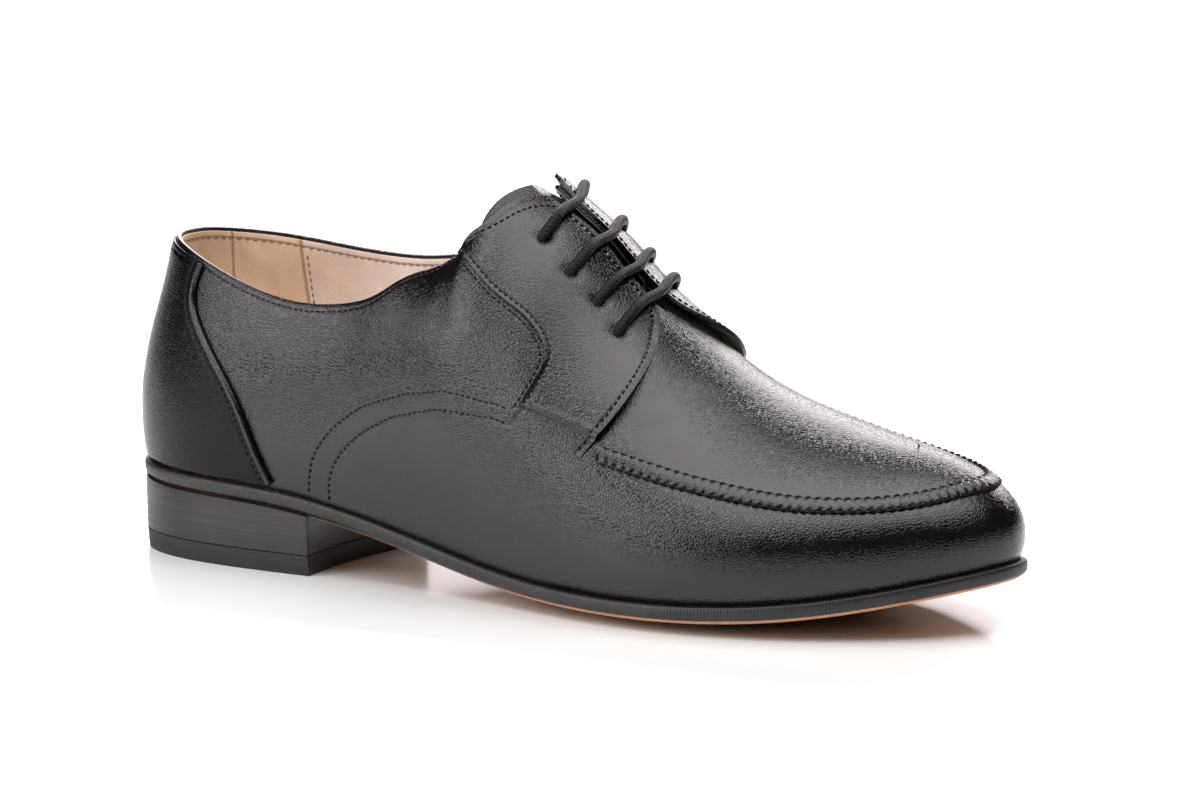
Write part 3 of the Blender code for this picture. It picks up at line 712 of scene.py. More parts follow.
def leather_grain():
    """Group of the grain of full-grain leather: pebbles, pores and a slow mottle."""
    name = "leather grain"
    if name in bpy.data.node_groups:
        return bpy.data.node_groups[name]
    tree, takes, gives = group_tree(name, (("Pebble Size", 0.0009), ("Vein", 0.10)), ("Grain", "Mottle"))
    place = node(tree, "ShaderNodeTexCoord").outputs["Object"]
    count = maths(tree, "DIVIDE", 1.0, takes.outputs["Pebble Size"])
    drift = node(tree, "ShaderNodeTexNoise", {"Vector": place, "Scale": 260.0, "Detail": 2.0})
    swirl = node(tree, "ShaderNodeVectorMath", {0: drift.outputs["Color"], 1: (0.5, 0.5, 0.5)},
                 operation="SUBTRACT")
    swirl = node(tree, "ShaderNodeVectorMath", {0: swirl.outputs[0], "Scale": 0.0006}, operation="SCALE")
    moved = node(tree, "ShaderNodeVectorMath", {0: place, 1: swirl.outputs[0]}, operation="ADD")
    pebble = node(tree, "ShaderNodeTexVoronoi", {"Vector": moved.outputs[0], "Scale": count},
                  feature="DISTANCE_TO_EDGE")
    rounded = span(tree, pebble.outputs["Distance"], 0.0, 0.26, 0.0, 1.0)
    fine = node(tree, "ShaderNodeTexNoise", {"Vector": place, "Scale": 2400.0, "Detail": 2.0})
    vein = node(tree, "ShaderNodeTexNoise", {"Vector": moved.outputs[0], "Scale": 420.0, "Detail": 5.0,
                                             "Roughness": 0.65})
    soft = node(tree, "ShaderNodeTexNoise", {"Vector": place, "Scale": count, "Detail": 1.0})
    grain = maths(tree, "MULTIPLY", soft.outputs[0], 0.5)
    grain = maths(tree, "MULTIPLY_ADD", rounded, 0.50, grain)
    grain = maths(tree, "MULTIPLY_ADD", fine.outputs[0], 0.12, grain)
    grain = maths(tree, "MULTIPLY_ADD", vein.outputs[0], takes.outputs["Vein"], grain)
    mottle = node(tree, "ShaderNodeTexNoise", {"Vector": place, "Scale": 45.0, "Detail": 4.0})
    tree.links.new(grain, gives.inputs["Grain"])
    tree.links.new(mottle.outputs[0], gives.inputs["Mottle"])
    return tree


def seam_trough():
    """Group of a soft trough that follows a seam: its distance in mm in, its height and its share of painted
    shade out.
    """
    name = "seam trough"
    if name in bpy.data.node_groups:
        return bpy.data.node_groups[name]
    tree, takes, gives = group_tree(name, (("Distance", 0.0), ("Width", 0.6)), ("Height", "Share"))
    share = maths(tree, "DIVIDE", takes.outputs["Distance"], takes.outputs["Width"])
    share = maths(tree, "POWER", maths(tree, "ABSOLUTE", share), 2.0)
    share = maths(tree, "EXPONENT", maths(tree, "MULTIPLY", share, -1.0))
    tree.links.new(share, gives.inputs["Share"])
    tree.links.new(maths(tree, "MULTIPLY", share, -1.0), gives.inputs["Height"])
    return tree


def new_material(name):
    """Empty material with its tree and its shader."""
    made = bpy.data.materials.new(name)
    made.use_nodes = True
    return made, made.node_tree, made.node_tree.nodes["Principled BSDF"]


def set_link(tree, shader, name, value):
    """Value or output on one of a shader's sockets."""
    if isinstance(value, bpy.types.NodeSocket):
        tree.links.new(value, shader.inputs[name])
    else:
        shader.inputs[name].default_value = value


def bump(tree, height, distance, strength=1.0, normal=None):
    """Normal bent by a height in metres."""
    inputs = {"Height": height, "Distance": distance, "Strength": strength}
    if normal is not None:
        inputs["Normal"] = normal
    return node(tree, "ShaderNodeBump", inputs).outputs[0]


def grain_in(tree, pebble):
    """Height of the leather's grain and its slow mottle, for pebbles of a size in metres."""
    grain = node(tree, "ShaderNodeGroup", node_tree=leather_grain())
    grain.inputs["Pebble Size"].default_value = pebble
    return grain.outputs["Grain"], grain.outputs["Mottle"]


def stitched(tree, seams, tone, trough_shade, share, depth):
    """Tone and normal of a leather with a trough along each of its seams, painted darker as shade."""
    normal = None
    for mark_name, distance, width in seams:
        trough = node(tree, "ShaderNodeGroup", node_tree=seam_trough())
        tree.links.new(maths(tree, "SUBTRACT", mark(tree, mark_name), distance), trough.inputs["Distance"])
        trough.inputs["Width"].default_value = width
        normal = bump(tree, trough.outputs["Height"], depth, 1.0, normal)
        # Painted shade: the colour darkens in the trough
        tone = blend(tree, maths(tree, "MULTIPLY", trough.outputs["Share"], share), tone, trough_shade)
    return tone, normal


def leather(name, deep, light, roughness, seams=(), pebble=0.0009, grain_depth=0.00011, gloss=0.5):
    """Grained leather; seams are marks with the distance and width in mm of a stitched trough with painted
    shade.
    """
    made, tree, shader = new_material(name)
    grain, mottle = grain_in(tree, pebble)
    tone = blend(tree, mottled(tree, mottle, 0.0, 1.0), tint(deep), tint(light))
    # Seam troughs darkened as painted shade
    tone, normal = stitched(tree, seams, tone, tint(deep, 0.35), 0.4, 0.00010)
    set_link(tree, shader, "Base Color", tone)
    set_link(tree, shader, "Roughness", mottled(tree, mottle, roughness - 0.02, roughness + 0.03))
    set_link(tree, shader, "Normal", bump(tree, grain, grain_depth, 0.8, normal))
    set_link(tree, shader, "Specular IOR Level", gloss)
    return made


def black(level):
    """Near-black leather colour at a level."""
    return [value * level for value in colours().leather]


class ShoeSizes(bpy.types.PropertyGroup):
    """Sizes of the leather, threads and laces."""

    leather_thickness: FloatProperty(
        name="Leather Thickness", description="Thickness of the upper leather", default=0.0013, min=0.0008,
        max=0.0016, unit="LENGTH")
    thread_width: FloatProperty(
        name="Thread Width", description="Width of the fine seam threads", default=0.00055, min=0.0003,
        max=0.001, unit="LENGTH")
    stitch_pitch: FloatProperty(
        name="Stitch Pitch", description="Length of one fine stitch", default=0.0021, min=0.001, max=0.004,
        unit="LENGTH")
    apron_pitch: FloatProperty(
        name="Apron Pitch", description="Length of one stitch of the apron seam", default=0.0028, min=0.002,
        max=0.008, unit="LENGTH")
    lace_width: FloatProperty(
        name="Lace Width", description="Width of the round lace", default=0.0032, min=0.002, max=0.004,
        unit="LENGTH")


class ShoeColours(bpy.types.PropertyGroup):
    """Colours of the leathers, linings and laces."""

    leather: FloatVectorProperty(
        name="Leather", description="Colour of the upper leather", default=(0.0038, 0.0035, 0.0041),
        subtype="COLOR", min=0.0, max=1.0)
    heel_lining: FloatVectorProperty(
        name="Heel Lining", description="Colour of the lining round the heel", default=(0.88, 0.70, 0.50),
        subtype="COLOR", min=0.0, max=1.0)
    quarter_lining: FloatVectorProperty(
        name="Quarter Lining", description="Colour of the lining of the quarters",
        default=(0.88, 0.78, 0.68), subtype="COLOR", min=0.0, max=1.0)
    sole_edge: FloatVectorProperty(
        name="Sole Edge", description="Colour of the inked edge of the sole",
        default=(0.0080, 0.0073, 0.0076), subtype="COLOR", min=0.0, max=1.0)
    sole_bottom: FloatVectorProperty(
        name="Sole Bottom", description="Colour of the bare leather under the sole",
        default=(0.62, 0.30, 0.15), subtype="COLOR", min=0.0, max=1.0)
    lace: FloatVectorProperty(
        name="Lace", description="Colour of the waxed lace", default=(0.0028, 0.0026, 0.0028),
        subtype="COLOR", min=0.0, max=1.0)


class ShoeStage(bpy.types.PropertyGroup):
    """Camera and lights."""

    azimuth: FloatProperty(
        name="Azimuth", description="Turn of the camera from the lateral side towards the toe",
        default=math.radians(32.0), subtype="ANGLE")
    elevation: FloatProperty(
        name="Elevation", description="Height angle of the camera", default=math.radians(9.14),
        subtype="ANGLE")
    distance: FloatProperty(
        name="Distance", description="Distance from the camera to its target", default=1.6, unit="LENGTH")
    lens: FloatProperty(name="Lens", description="Focal length in mm", default=163.34)
    side_light: FloatProperty(
        name="Side Light", description="Power of the broad light on the lateral side", default=22.0,
        unit="POWER")
    front_light: FloatProperty(
        name="Front Light", description="Power of the light high in front of the shoe", default=8.0,
        unit="POWER")
    top_light: FloatProperty(
        name="Top Light", description="Power of the light over the shoe", default=48.0, unit="POWER")
    back_light: FloatProperty(
        name="Back Light", description="Power of the light behind the shoe", default=27.0, unit="POWER")
    tint: FloatVectorProperty(
        name="Light Tint", description="Colour of the studio lights", default=(1.0, 0.945, 0.985),
        subtype="COLOR", min=0.0, max=1.0)


def wall_marks():
    """Stations of the upper's columns, closest round the top of the throat."""
    runs = ((0.0, 100.0, 84), (100.0, SLOT_END, 92), (SLOT_END, LENGTH, 100))
    marks = [np.zeros(1)]
    for start, end, count in runs:
        marks.append(np.linspace(station(start), station(end), count + 1)[1:])
    return np.concatenate(marks)


def wall_chart(c, r, side):
    """Station and height on the chart of the upper's wall, r from the welt to the rim."""
    marks = wall_marks()
    which = 1 if side < 0 else 3
    s = marks[np.rint(c * (len(marks) - 1)).astype(int)]
    closed = s > station(SLOT_END) - 1e-6
    top_s = np.where(closed, s, station(column(RIM, which)(s)))
    x = along(s)
    tuck = FACING_TUCK * step_up(x, *TUCK_START) * (1.0 - step_up(x, *TUCK_END))
    top_v = np.where(closed, 1.0, column(RIM, which + 1)(s) - tuck)
    rise = r ** ROW_SPREAD
    return s + (top_s - s) * rise, top_v * rise, np.where(closed, 99.0, 0.0)


class SHOE_OT_upper(bpy.types.Operator):
    """Lasted upper of black leather from the welt to the folded collar"""

    bl_idname = "shoe.upper"
    bl_label = "Upper"

    def execute(self, context):
        thickness = sizes().leather_thickness / MM
        columns, rows = len(wall_marks()) - 1, 74

        def half(side):
            def place(c, r):
                s, v, closed = wall_chart(c, r, side)
                height = relief(s, v, side)
                points = last(s, v, side)
                rim_s, rim_v, _ = wall_chart(c, np.ones_like(r), side)
                collar = np.linalg.norm(points - last(rim_s, rim_v, side), axis=-1) + closed
                wall = side_wall_gap(points, s, v, side)
                inner_row = side_wall_gap(points, s, v, side, SIDE_WALL_INNER)
                turned = 0.35 * hump(collar, 0.8)
                outer = skin(s, v, side, height - turned)
                inner = skin(s, v, side, height - thickness)
                return outer, inner, {"collar": collar, "side_wall": wall, "side_wall_inner": inner_row}
            return columns, rows, place
        seams = (("collar", COLLAR_ROW, 0.55), ("side_wall", 0.0, 0.55), ("side_wall_inner", 0.0, 0.55))
        finish = leather("black nappa leather", black(0.8), black(1.25), 0.19, seams)
        thick_sheet("upper_leather", [half(-1), half(1)], 0.4, finish, ["upper"],
                    ("collar", "side_wall", "side_wall_inner"))
        return {"FINISHED"}


class SHOE_OT_lining(bpy.types.Operator):
    """Leather lining inside the upper, in a heel part and a quarter part"""

    bl_idname = "shoe.lining"
    bl_label = "Lining"

    def execute(self, context):
        thickness = sizes().leather_thickness / MM
        columns, rows = len(wall_marks()) - 1, 40

        def half(side):
            def place(c, r):
                s, v, closed = wall_chart(c, 0.985 * r, side)
                rim_s, rim_v, _ = wall_chart(c, np.ones_like(r), side)
                points = last(s, v, side)
                collar = np.linalg.norm(points - last(rim_s, rim_v, side), axis=-1) + closed
                x, z = along(s), points[:, 2]
                heel = 1.0 - step_up(x, HEEL_LINING - 8.0, HEEL_LINING)
                wrinkle = np.sin(0.62 * x + 0.30 * z + 1.2 * np.sin(0.11 * z)) * np.sin(0.17 * z - 0.2 * x)
                wrinkle = 0.30 * heel * wrinkle * step_up(collar, 2.0, 9.0)
                turned = 0.3 * hump(collar, 1.2)
                fill = quarter_fill(points)
                back = -thickness - 0.1
                face = -WALL + wrinkle + turned
                outer = skin(s, v, side, fill + back)
                inner = skin(s, v, side, fill + np.minimum(face, back - 0.25))
                return outer, inner, {"collar": collar, "foot_x": x}
            return columns, rows, place
        thick_sheet("lining", [half(-1), half(1)], 0.0, lining_finish(),
                    marks=("collar", "foot_x"))
        return {"FINISHED"}


def lining_finish():
    """Lining leather in two tones, worn a little, with painted shade in the troughs of its seams."""
    made, tree, shader = new_material("lining leather")
    grain, mottle = grain_in(tree, LINING_PEBBLE)
    share = span(tree, mark(tree, "foot_x"), HEEL_LINING, HEEL_LINING + 0.6, 0.0, 1.0)
    tone = blend(tree, share, tint(colours().heel_lining), tint(colours().quarter_lining))
    tone = blend(tree, span(tree, mottle, 0.35, 0.7, 0.0, 0.35), tone, (0.36, 0.22, 0.10, 1.0))
    seams = (("foot_x", HEEL_LINING, 0.5), ("foot_x", BACK_STRIP, 0.4), ("collar", LINING_ROW, 0.4))
    # Seam troughs painted a darker brown as shade
    tone, normal = stitched(tree, seams, tone, (0.20, 0.11, 0.05, 1.0), 0.55, 0.0004)
    set_link(tree, shader, "Base Color", tone)
    set_link(tree, shader, "Roughness", mottled(tree, mottle, 0.5, 0.66))
    set_link(tree, shader, "Normal", bump(tree, grain, 0.00012, 0.7, normal))
    return made


def even(t):
    """Places from 0 to 1 that crowd towards both ends."""
    return 0.5 * t + 0.25 * (1.0 - np.cos(np.pi * t))


def facing_chart(side):
    """Function of c (rear seam to front edge) and r (foot to top) to the facing's station and height."""
    first = 0 if side < 0 else 2
    rear_x, rear_v = path(FACING_REAR, first), path(FACING_REAR, first + 1)
    front_x, front_v = path(FACING_FRONT, first), path(FACING_FRONT, first + 1)
    top_edge_x, top_edge_v = path(FACING_TOP, first), path(FACING_TOP, first + 1)

    def spread(rear, front, top, c, r):
        straight = rear(1.0) + (front(1.0) - rear(1.0)) * c
        return rear(r) + (front(r) - rear(r)) * c + (top(c) - straight) * r ** 4

    def chart(c, r):
        return station(spread(rear_x, front_x, top_edge_x, c, r)), spread(rear_v, front_v, top_edge_v, c, r)
    return chart


def facing_fold(c):
    """Place up the facing of the fold over its foot."""
    return FACING_FOOT[0] + (FACING_FOOT[1] - FACING_FOOT[0]) * c


def facing_lift(c, r, side):
    """Height of the facing's face over the last: bowed front edge, eased top and turned-in foot."""
    bow, bow_place = BOW[side]
    proud = bow * c ** 3 * hump(r - bow_place, BOW_SPREAD)
    lift = OVERLAY_GAP + FACING_THICKNESS + TOP_EASE * np.sqrt(np.clip(c, 0.0, 1.0)) * r ** 8 + proud
    fold = facing_fold(c)
    below = np.clip((fold - r) / fold, 0.0, 1.0)
    lift = lift - FACING_STEP * (1.0 - step_up(r, fold - 0.016, fold)) - FOOT_TURN * below
    corner = np.hypot(c * FACING_TOP_RUN, (1.0 - r) * FACING_REAR_RUN)
    return lift * (CORNER_SHARE + (1.0 - CORNER_SHARE) * step_up(corner, 0.5, CORNER_REACH))


def skin_row(s, v, side, lift=0.0):
    """Points and outward directions along a row at a lift over the leather."""
    return skin(s, v, side, relief(s, v, side) + lift), skin_normal(s, v, side)


def facing_row(side, c, r):
    """Points and outward directions along a row on a facing."""
    s, v = facing_chart(side)(c, r)
    return skin_row(s, v, side, facing_lift(c, r, side))


def facing_width(side, r):
    """Distance from the rear seam to the front edge at each place up the facing."""
    chart = facing_chart(side)
    steps = np.linspace(0.0, 1.0, 9)
    points = np.array([last(*chart(c + 0.0 * r, r), side) for c in steps])
    return np.linalg.norm(np.diff(points, axis=0), axis=-1).sum(axis=0)


class SHOE_OT_facings(bpy.types.Operator):
    """Facing panels of both quarters, with rolled edges, stitched seams and punched lace holes"""

    bl_idname = "shoe.facings"
    bl_label = "Facings"

    def execute(self, context):
        seams = (("front_edge", FRONT_ROW, 0.5), ("rear_edge", REAR_ROW, 0.5), ("top_edge", TOP_ROW, 0.5))
        finish = leather("black facing leather", black(0.85), black(1.3), 0.20, seams)
        quarter = colours().quarter_lining
        backing = leather("facing lining", [0.85 * v for v in quarter], quarter, 0.55, (), LINING_PEBBLE)
        for side, name in ((-1, "facing_lateral"), (1, "facing_medial")):
            chart = facing_chart(side)
            holes = [(row[0], row[1]) if side < 0 else (row[2], row[3]) for row in LACE_HOLES]

            def place(c, r, side=side, chart=chart, holes=holes):
                c, r = even(c), even(r)
                s, v = chart(c, r)
                points = last(s, v, side)
                width = facing_width(side, r)
                front, rear = (1.0 - c) * width, c * width
                t = np.linspace(0.0, 1.0, 200)
                top = nearest(points, last(*chart(t, np.ones_like(t)), side))[0]
                roll = 0.22 * hump(front, 0.9) + 0.25 * hump(rear, 1.1)
                roll += 0.18 * hump(top, 0.9)
                fold = facing_fold(c)
                roll += 0.25 * hump(r - fold - 0.012, 0.012)
                lift = facing_lift(c, r, side) + roll
                base = relief(s, v, side)
                for x, height in holes:
                    hole = last(station(x), height, side)
                    gap = np.linalg.norm(points - hole, axis=-1)
                    lift = lift - HOLE_DENT * hump(gap, HOLE_DENT_WIDTH)
                outer = skin(s, v, side, base + lift)
                inner = skin(s, v, side, base + np.maximum(lift - FACING_THICKNESS, -0.4) + 0.1)
                return outer, inner, {"front_edge": front, "rear_edge": rear, "top_edge": top}
            thick_sheet(name + "_leather", [(64, 130, place)], 0.45, finish, [name],
                        ("front_edge", "rear_edge", "top_edge"), backing)
        return {"FINISHED"}


class SHOE_OT_tongue(bpy.types.Operator):
    """Tongue under the facings, with a rounded top"""

    bl_idname = "shoe.tongue"
    bl_label = "Tongue"

    def execute(self, context):
        start, end = TONGUE[0][0], TONGUE[-1][0]
        edge = column(TONGUE, 1, flat=False)
        top = -(WALL + TONGUE_GAP)
        rise = last(station(start), 1.0, -1) - last(station(start + TONGUE_TOP), 1.0, -1)
        rise = rise / np.linalg.norm(rise)

        def half(side):
            def place(c, r):
                reach = (end - start + TONGUE_TOP) * c - TONGUE_TOP
                beyond = np.maximum(-reach, 0.0) * (1.0 - TONGUE_ROUND * (1.0 - r) ** 2)
                s = station(start + np.maximum(reach, 0.0))
                v = edge(s) + (1.0 - edge(s)) * r
                outer = skin(s, v, side, top + 0.0 * s)
                inner = skin(s, v, side, top - TONGUE_THICKNESS + 0.0 * s)
                inward = (inner - outer) / TONGUE_THICKNESS
                step = beyond[:, None] * (rise + TONGUE_LEAN * (1.0 - r * r)[:, None] * inward)
                return outer + step, inner + step, {}
            return 60, 26, place
        finish = leather("black tongue leather", black(0.9), black(1.3), 0.24)
        thick_sheet("tongue_leather", [half(-1), half(1)], 0.5, finish, ["tongue"])
        return {"FINISHED"}


def counter_seam():
    """Place along the foot of the counter's front seam, as a curve up the wall."""
    return spline([row[0] for row in COUNTER], [row[1] for row in COUNTER], flat=False)


class SHOE_OT_counter(bpy.types.Operator):
    """Heel counter wrapped round the back, with a piped front seam"""

    bl_idname = "shoe.counter"
    bl_label = "Counter"

    def execute(self, context):
        seam = counter_seam()

        def half(side):
            def place(c, r):
                c = 1.0 - (1.0 - c) ** 1.4
                v = COUNTER_FOOT + (COUNTER_TOP - COUNTER_FOOT) * r
                s = station(seam(v)) * c
                base = relief(s, v, side)
                points = last(s, v, side)
                t = np.linspace(COUNTER_FOOT, COUNTER_TOP, 300)
                front = nearest(points, last(station(seam(t)), t, side))[0]
                rim = (COUNTER_TOP - v) * 70.0
                lift = OVERLAY_GAP + COUNTER_THICKNESS - 0.35 * hump(rim, 1.5)
                outer = skin(s, v, side, base + lift)
                inner = skin(s, v, side, base + 0.12)
                return outer, inner, {"front_edge": front, "rim_edge": rim}
            return 70, 80, place
        seams = (("front_edge", COUNTER_ROW, 0.5), ("rim_edge", 1.6, 0.5))
        # Painted shade: the counter's leather is a darker, less glossy copy of the upper's, for the dark band
        # round the heel
        finish = leather("black counter leather", black(0.6), black(1.0), 0.19, seams, gloss=0.15)
        thick_sheet("counter_leather", [half(-1), half(1)], 0.3, finish, ["counter"],
                    ("front_edge", "rim_edge"))
        bm = bmesh.new()
        for side in (-1, 1):
            v = np.linspace(COUNTER_FOOT, COUNTER_TOP, 160)
            line, up = skin_row(station(seam(v)), v, side, PIPING_LIFT)
            tube_in(bm, line, up, closed_radius(len(v), PIPING_RADIUS), 12)
        close_tubes(bm)
        finish_piece("counter_piping", bm, leather("black piping leather", black(0.9), black(1.2), 0.20))
        return {"FINISHED"}


class SHOE_OT_apron_seam(bpy.types.Operator):
    """Raised and puckered apron seam round the toe, with its two rows of heavy stitches"""

    bl_idname = "shoe.apron_seam"
    bl_label = "Apron Seam"

    def execute(self, context):
        pitch = sizes().apron_pitch / MM
        tiny = 0.01

        def chart(side, s, offset):
            middle = column(APRON, 1 if side < 0 else 2)(s)
            reach = np.linalg.norm(last(s, middle + tiny, side) - last(s, middle - tiny, side), axis=-1)
            return middle + offset * 2.0 * tiny / reach

        def run_of(side, s):
            line_s, line_v = apron_line(side)
            return np.interp(s, line_s, line_run(last(line_s, line_v, side)))

        def half(side):
            def place(c, r):
                begin = station(APRON_START[side])
                s = begin + (1.0 - begin) * c
                v = chart(side, s, (r - 0.5) * SEAM_WIDTH)
                pucker = np.cos(2.0 * np.pi * run_of(side, s) / pitch)
                arch = np.sin(np.pi * r)
                rows = hump(r - 0.14, 0.11) + hump(r - 0.86, 0.11)
                swell = SEAM_HEIGHT * (0.05 + 0.90 * arch ** 0.6) + PUCKER_HEIGHT * pucker * rows
                base = relief(s, v, side)
                return (skin(s, v, side, base + OVERLAY_GAP + swell),
                        skin(s, v, side, base + 0.1 + 0.0 * s), {})
            return 420, 14, place
        finish = leather("black apron leather", black(0.8), black(1.2), 0.24)
        thick_sheet("apron_seam_leather", [half(-1), half(1)], 0.0, finish, ["apron_seam"])
        bm = bmesh.new()
        for offset in (-APRON_ROW, APRON_ROW):
            lines, ups = [], []
            for side in (-1, 1):
                s = np.linspace(station(APRON_START[side]) + 0.002, 1.0, 400)
                line, up = skin_row(s, chart(side, s, offset), side, 0.55)
                lines.append(line if side < 0 else line[::-1][1:])
                ups.append(up if side < 0 else up[::-1][1:])
            stitch_row(bm, np.concatenate(lines), np.concatenate(ups), pitch, APRON_THREAD, 0.2)
        close_tubes(bm)
        finish_piece("apron_threads", bm, black_thread())
        return {"FINISHED"}


def thread_finish(name, deep, light, smooth, rough, gloss):
    """Thread twisted from fine strands of two tones."""
    if name in bpy.data.materials:
        return bpy.data.materials[name]
    made, tree, shader = new_material(name)
    strand = object_noise(tree, 2600.0, 2.0)
    tone = blend(tree, mottled(tree, strand, 0.0, 1.0), tint(deep), tint(light))
    set_link(tree, shader, "Base Color", tone)
    set_link(tree, shader, "Roughness", mottled(tree, strand, smooth, rough))
    set_link(tree, shader, "Specular IOR Level", gloss)
    set_link(tree, shader, "Normal", bump(tree, strand, 0.0001, 0.6))
    return made


def black_thread():
    """Waxed black thread of the outer seams."""
    return thread_finish("waxed thread", (0.0015, 0.0015, 0.0016), (0.005, 0.005, 0.0052), 0.50, 0.65, 0.2)


def lining_thread():
    """Brown thread of the lining."""
    return thread_finish("lining thread", (0.20, 0.11, 0.05), (0.34, 0.21, 0.11), 0.55, 0.75, 0.5)


class SHOE_OT_seams(bpy.types.Operator):
    """Stitch rows of the facings, collar, counter, side wall and lining"""

    bl_idname = "shoe.seams"
    bl_label = "Seam Threads"

    def execute(self, context):
        pitch, width = sizes().stitch_pitch / MM, sizes().thread_width / MM
        bm = bmesh.new()
        seam = counter_seam()
        for side in (-1, 1):
            r = np.linspace(0.02, 0.955, 300)
            rows = [facing_row(side, 1.0 - FRONT_ROW / facing_width(side, r), r)]
            r = np.linspace(0.12, 0.94, 300)
            rows.append(facing_row(side, REAR_ROW / facing_width(side, r), r))
            rows.append(skin_row(*facing_chart(side)(-OUTER_ROW / facing_width(side, r), r), side))
            c = np.linspace(0.14, 0.94, 120)
            rows.append(facing_row(side, c, 0.966 + 0.0 * c))
            for table in (SIDE_WALL, SIDE_WALL_INNER):
                s, v = chart_line(table if side < 0 else table + UNDER_FACING[side][:3])
                rows.append(skin_row(s[8:], v[8:], side))
            v = np.linspace(COUNTER_FOOT + 0.01, COUNTER_TOP - 0.02, 300)
            rows.append(skin_row(station(seam(v) - COUNTER_ROW), v, side, OVERLAY_GAP + COUNTER_THICKNESS))
            for line, up in rows:
                stitch_row(bm, line, up, pitch, width)
        for side in (-1, 1):
            line, up = collar_row(side, wall_row_places(*COLLAR_ENDS), COLLAR_ROW)
            stitch_row(bm, line, up, pitch, width)
        close_tubes(bm)
        finish_piece("seam_threads", bm, black_thread())
        bm = bmesh.new()
        seat = -WALL + THREAD_SEAT
        for side in (-1, 1):
            line, up = collar_row(side, wall_row_places(0.0, COLLAR_ENDS[1]), LINING_ROW, seat)
            stitch_row(bm, line, -up, LINING_PITCH * pitch, width)
            v = np.linspace(0.35, 0.93, 200)
            s = station(HEEL_LINING + 1.6 + 0.0 * v)
            line = skin(s, v, side, seat + 0.0 * s)
            stitch_row(bm, line, -skin_normal(s, v, side), LINING_PITCH * pitch, width)
        close_tubes(bm)
        finish_piece("lining_threads", bm, lining_thread())
        return {"FINISHED"}


def wall_row_places(start, end):
    """Places of the upper's columns between two shares of its columns."""
    marks = wall_marks()
    count = len(marks) - 1
    return np.arange(int(start * count), int(end * count) + 1) / count


def collar_row(side, c, drop, lift=0.0):
    """Points and outward directions of a row that follows the rim of the upper at a drop below it."""
    r = np.linspace(0.5, 1.0, 120)
    lines, ups = [], []
    for place in c:
        s, v, closed = wall_chart(place + 0.0 * r, r, side)
        points = last(s, v, side)
        gap = np.linalg.norm(points - points[-1], axis=-1)
        rise = np.interp(-drop, -gap, r)
        s, v, closed = wall_chart(np.array([place]), np.array([rise]), side)
        if closed[0] > 0.0:
            break
        lines.append(skin(s, v, side, lift + quarter_fill(last(s, v, side)))[0])
        ups.append(skin_normal(s, v, side)[0])
    return np.array(lines), np.array(ups)


class SHOE_OT_laces(bpy.types.Operator):
    """Round waxed lace in four bars, each end down its punched hole"""

    bl_idname = "shoe.laces"
    bl_label = "Laces"

    def execute(self, context):
        width = sizes().lace_width / MM
        finish = lace_finish()
        rest = OVERLAY_GAP + FACING_THICKNESS + GAP + width / 2
        for number, row in enumerate(LACE_HOLES, 1):
            lateral_x, lateral, medial_x, medial, lateral_lift, medial_lift = row
            near, far = rest + lateral_lift, rest + medial_lift
            middle_x = (lateral_x + medial_x) / 2
            route = (
                (lateral_x + 0.4, lateral - 0.022, -1, -LACE_DEPTH),
                (lateral_x, lateral - 0.004, -1, 0.30 * near),
                (lateral_x - 0.3, 0.80 * lateral + 0.20, -1, 0.96 * near),
                (0.75 * lateral_x + 0.25 * medial_x, 0.4 * lateral + 0.6, -1, near),
                (middle_x, 1.0, -1, (near + far) / 2 - SAG),
                (0.25 * lateral_x + 0.75 * medial_x, 0.4 * medial + 0.6, 1, far),
                (medial_x + 0.3, 0.80 * medial + 0.20, 1, 0.96 * far),
                (medial_x, medial - 0.004, 1, 0.30 * far),
                (medial_x - 0.4, medial - 0.022, 1, -LACE_DEPTH))
            knots = np.array([skin(station(x), v, side, lift) for x, v, side, lift in route])
            ups = np.array([skin_normal(station(x), v, side) for x, v, side, lift in route])
            run = line_run(knots)
            fine = np.linspace(0.0, run[-1], 120)
            line = np.stack([spline(run, knots[:, i], flat=False)(fine) for i in range(3)], axis=-1)
            up = unit(np.stack([np.interp(fine, run, ups[:, i]) for i in range(3)], axis=-1))
            bm = bmesh.new()
            layer = bm.loops.layers.uv.new("UVMap")
            tube_in(bm, line, up, closed_radius(len(line), width / 2), LACE_SIDES)
            lay_weave(bm, layer, line, LACE_SIDES)
            close_tubes(bm)
            finish_piece("lace_%d" % number, bm, finish, ["lace_bar_%d" % number])
        return {"FINISHED"}


def lay_weave(bm, layer, line, sides):
    """Lay a tube's map out by its grid: millimetres along it and turns round it."""
    run = line_run(line)
    bm.verts.index_update()
    stride = len(line)
    for face in bm.faces:
        corners = [(loop, loop.vert.index % stride, loop.vert.index // stride) for loop in face.loops]
        for loop, place, turn in corners:
            loop[layer].uv = (run[place], turn / sides)


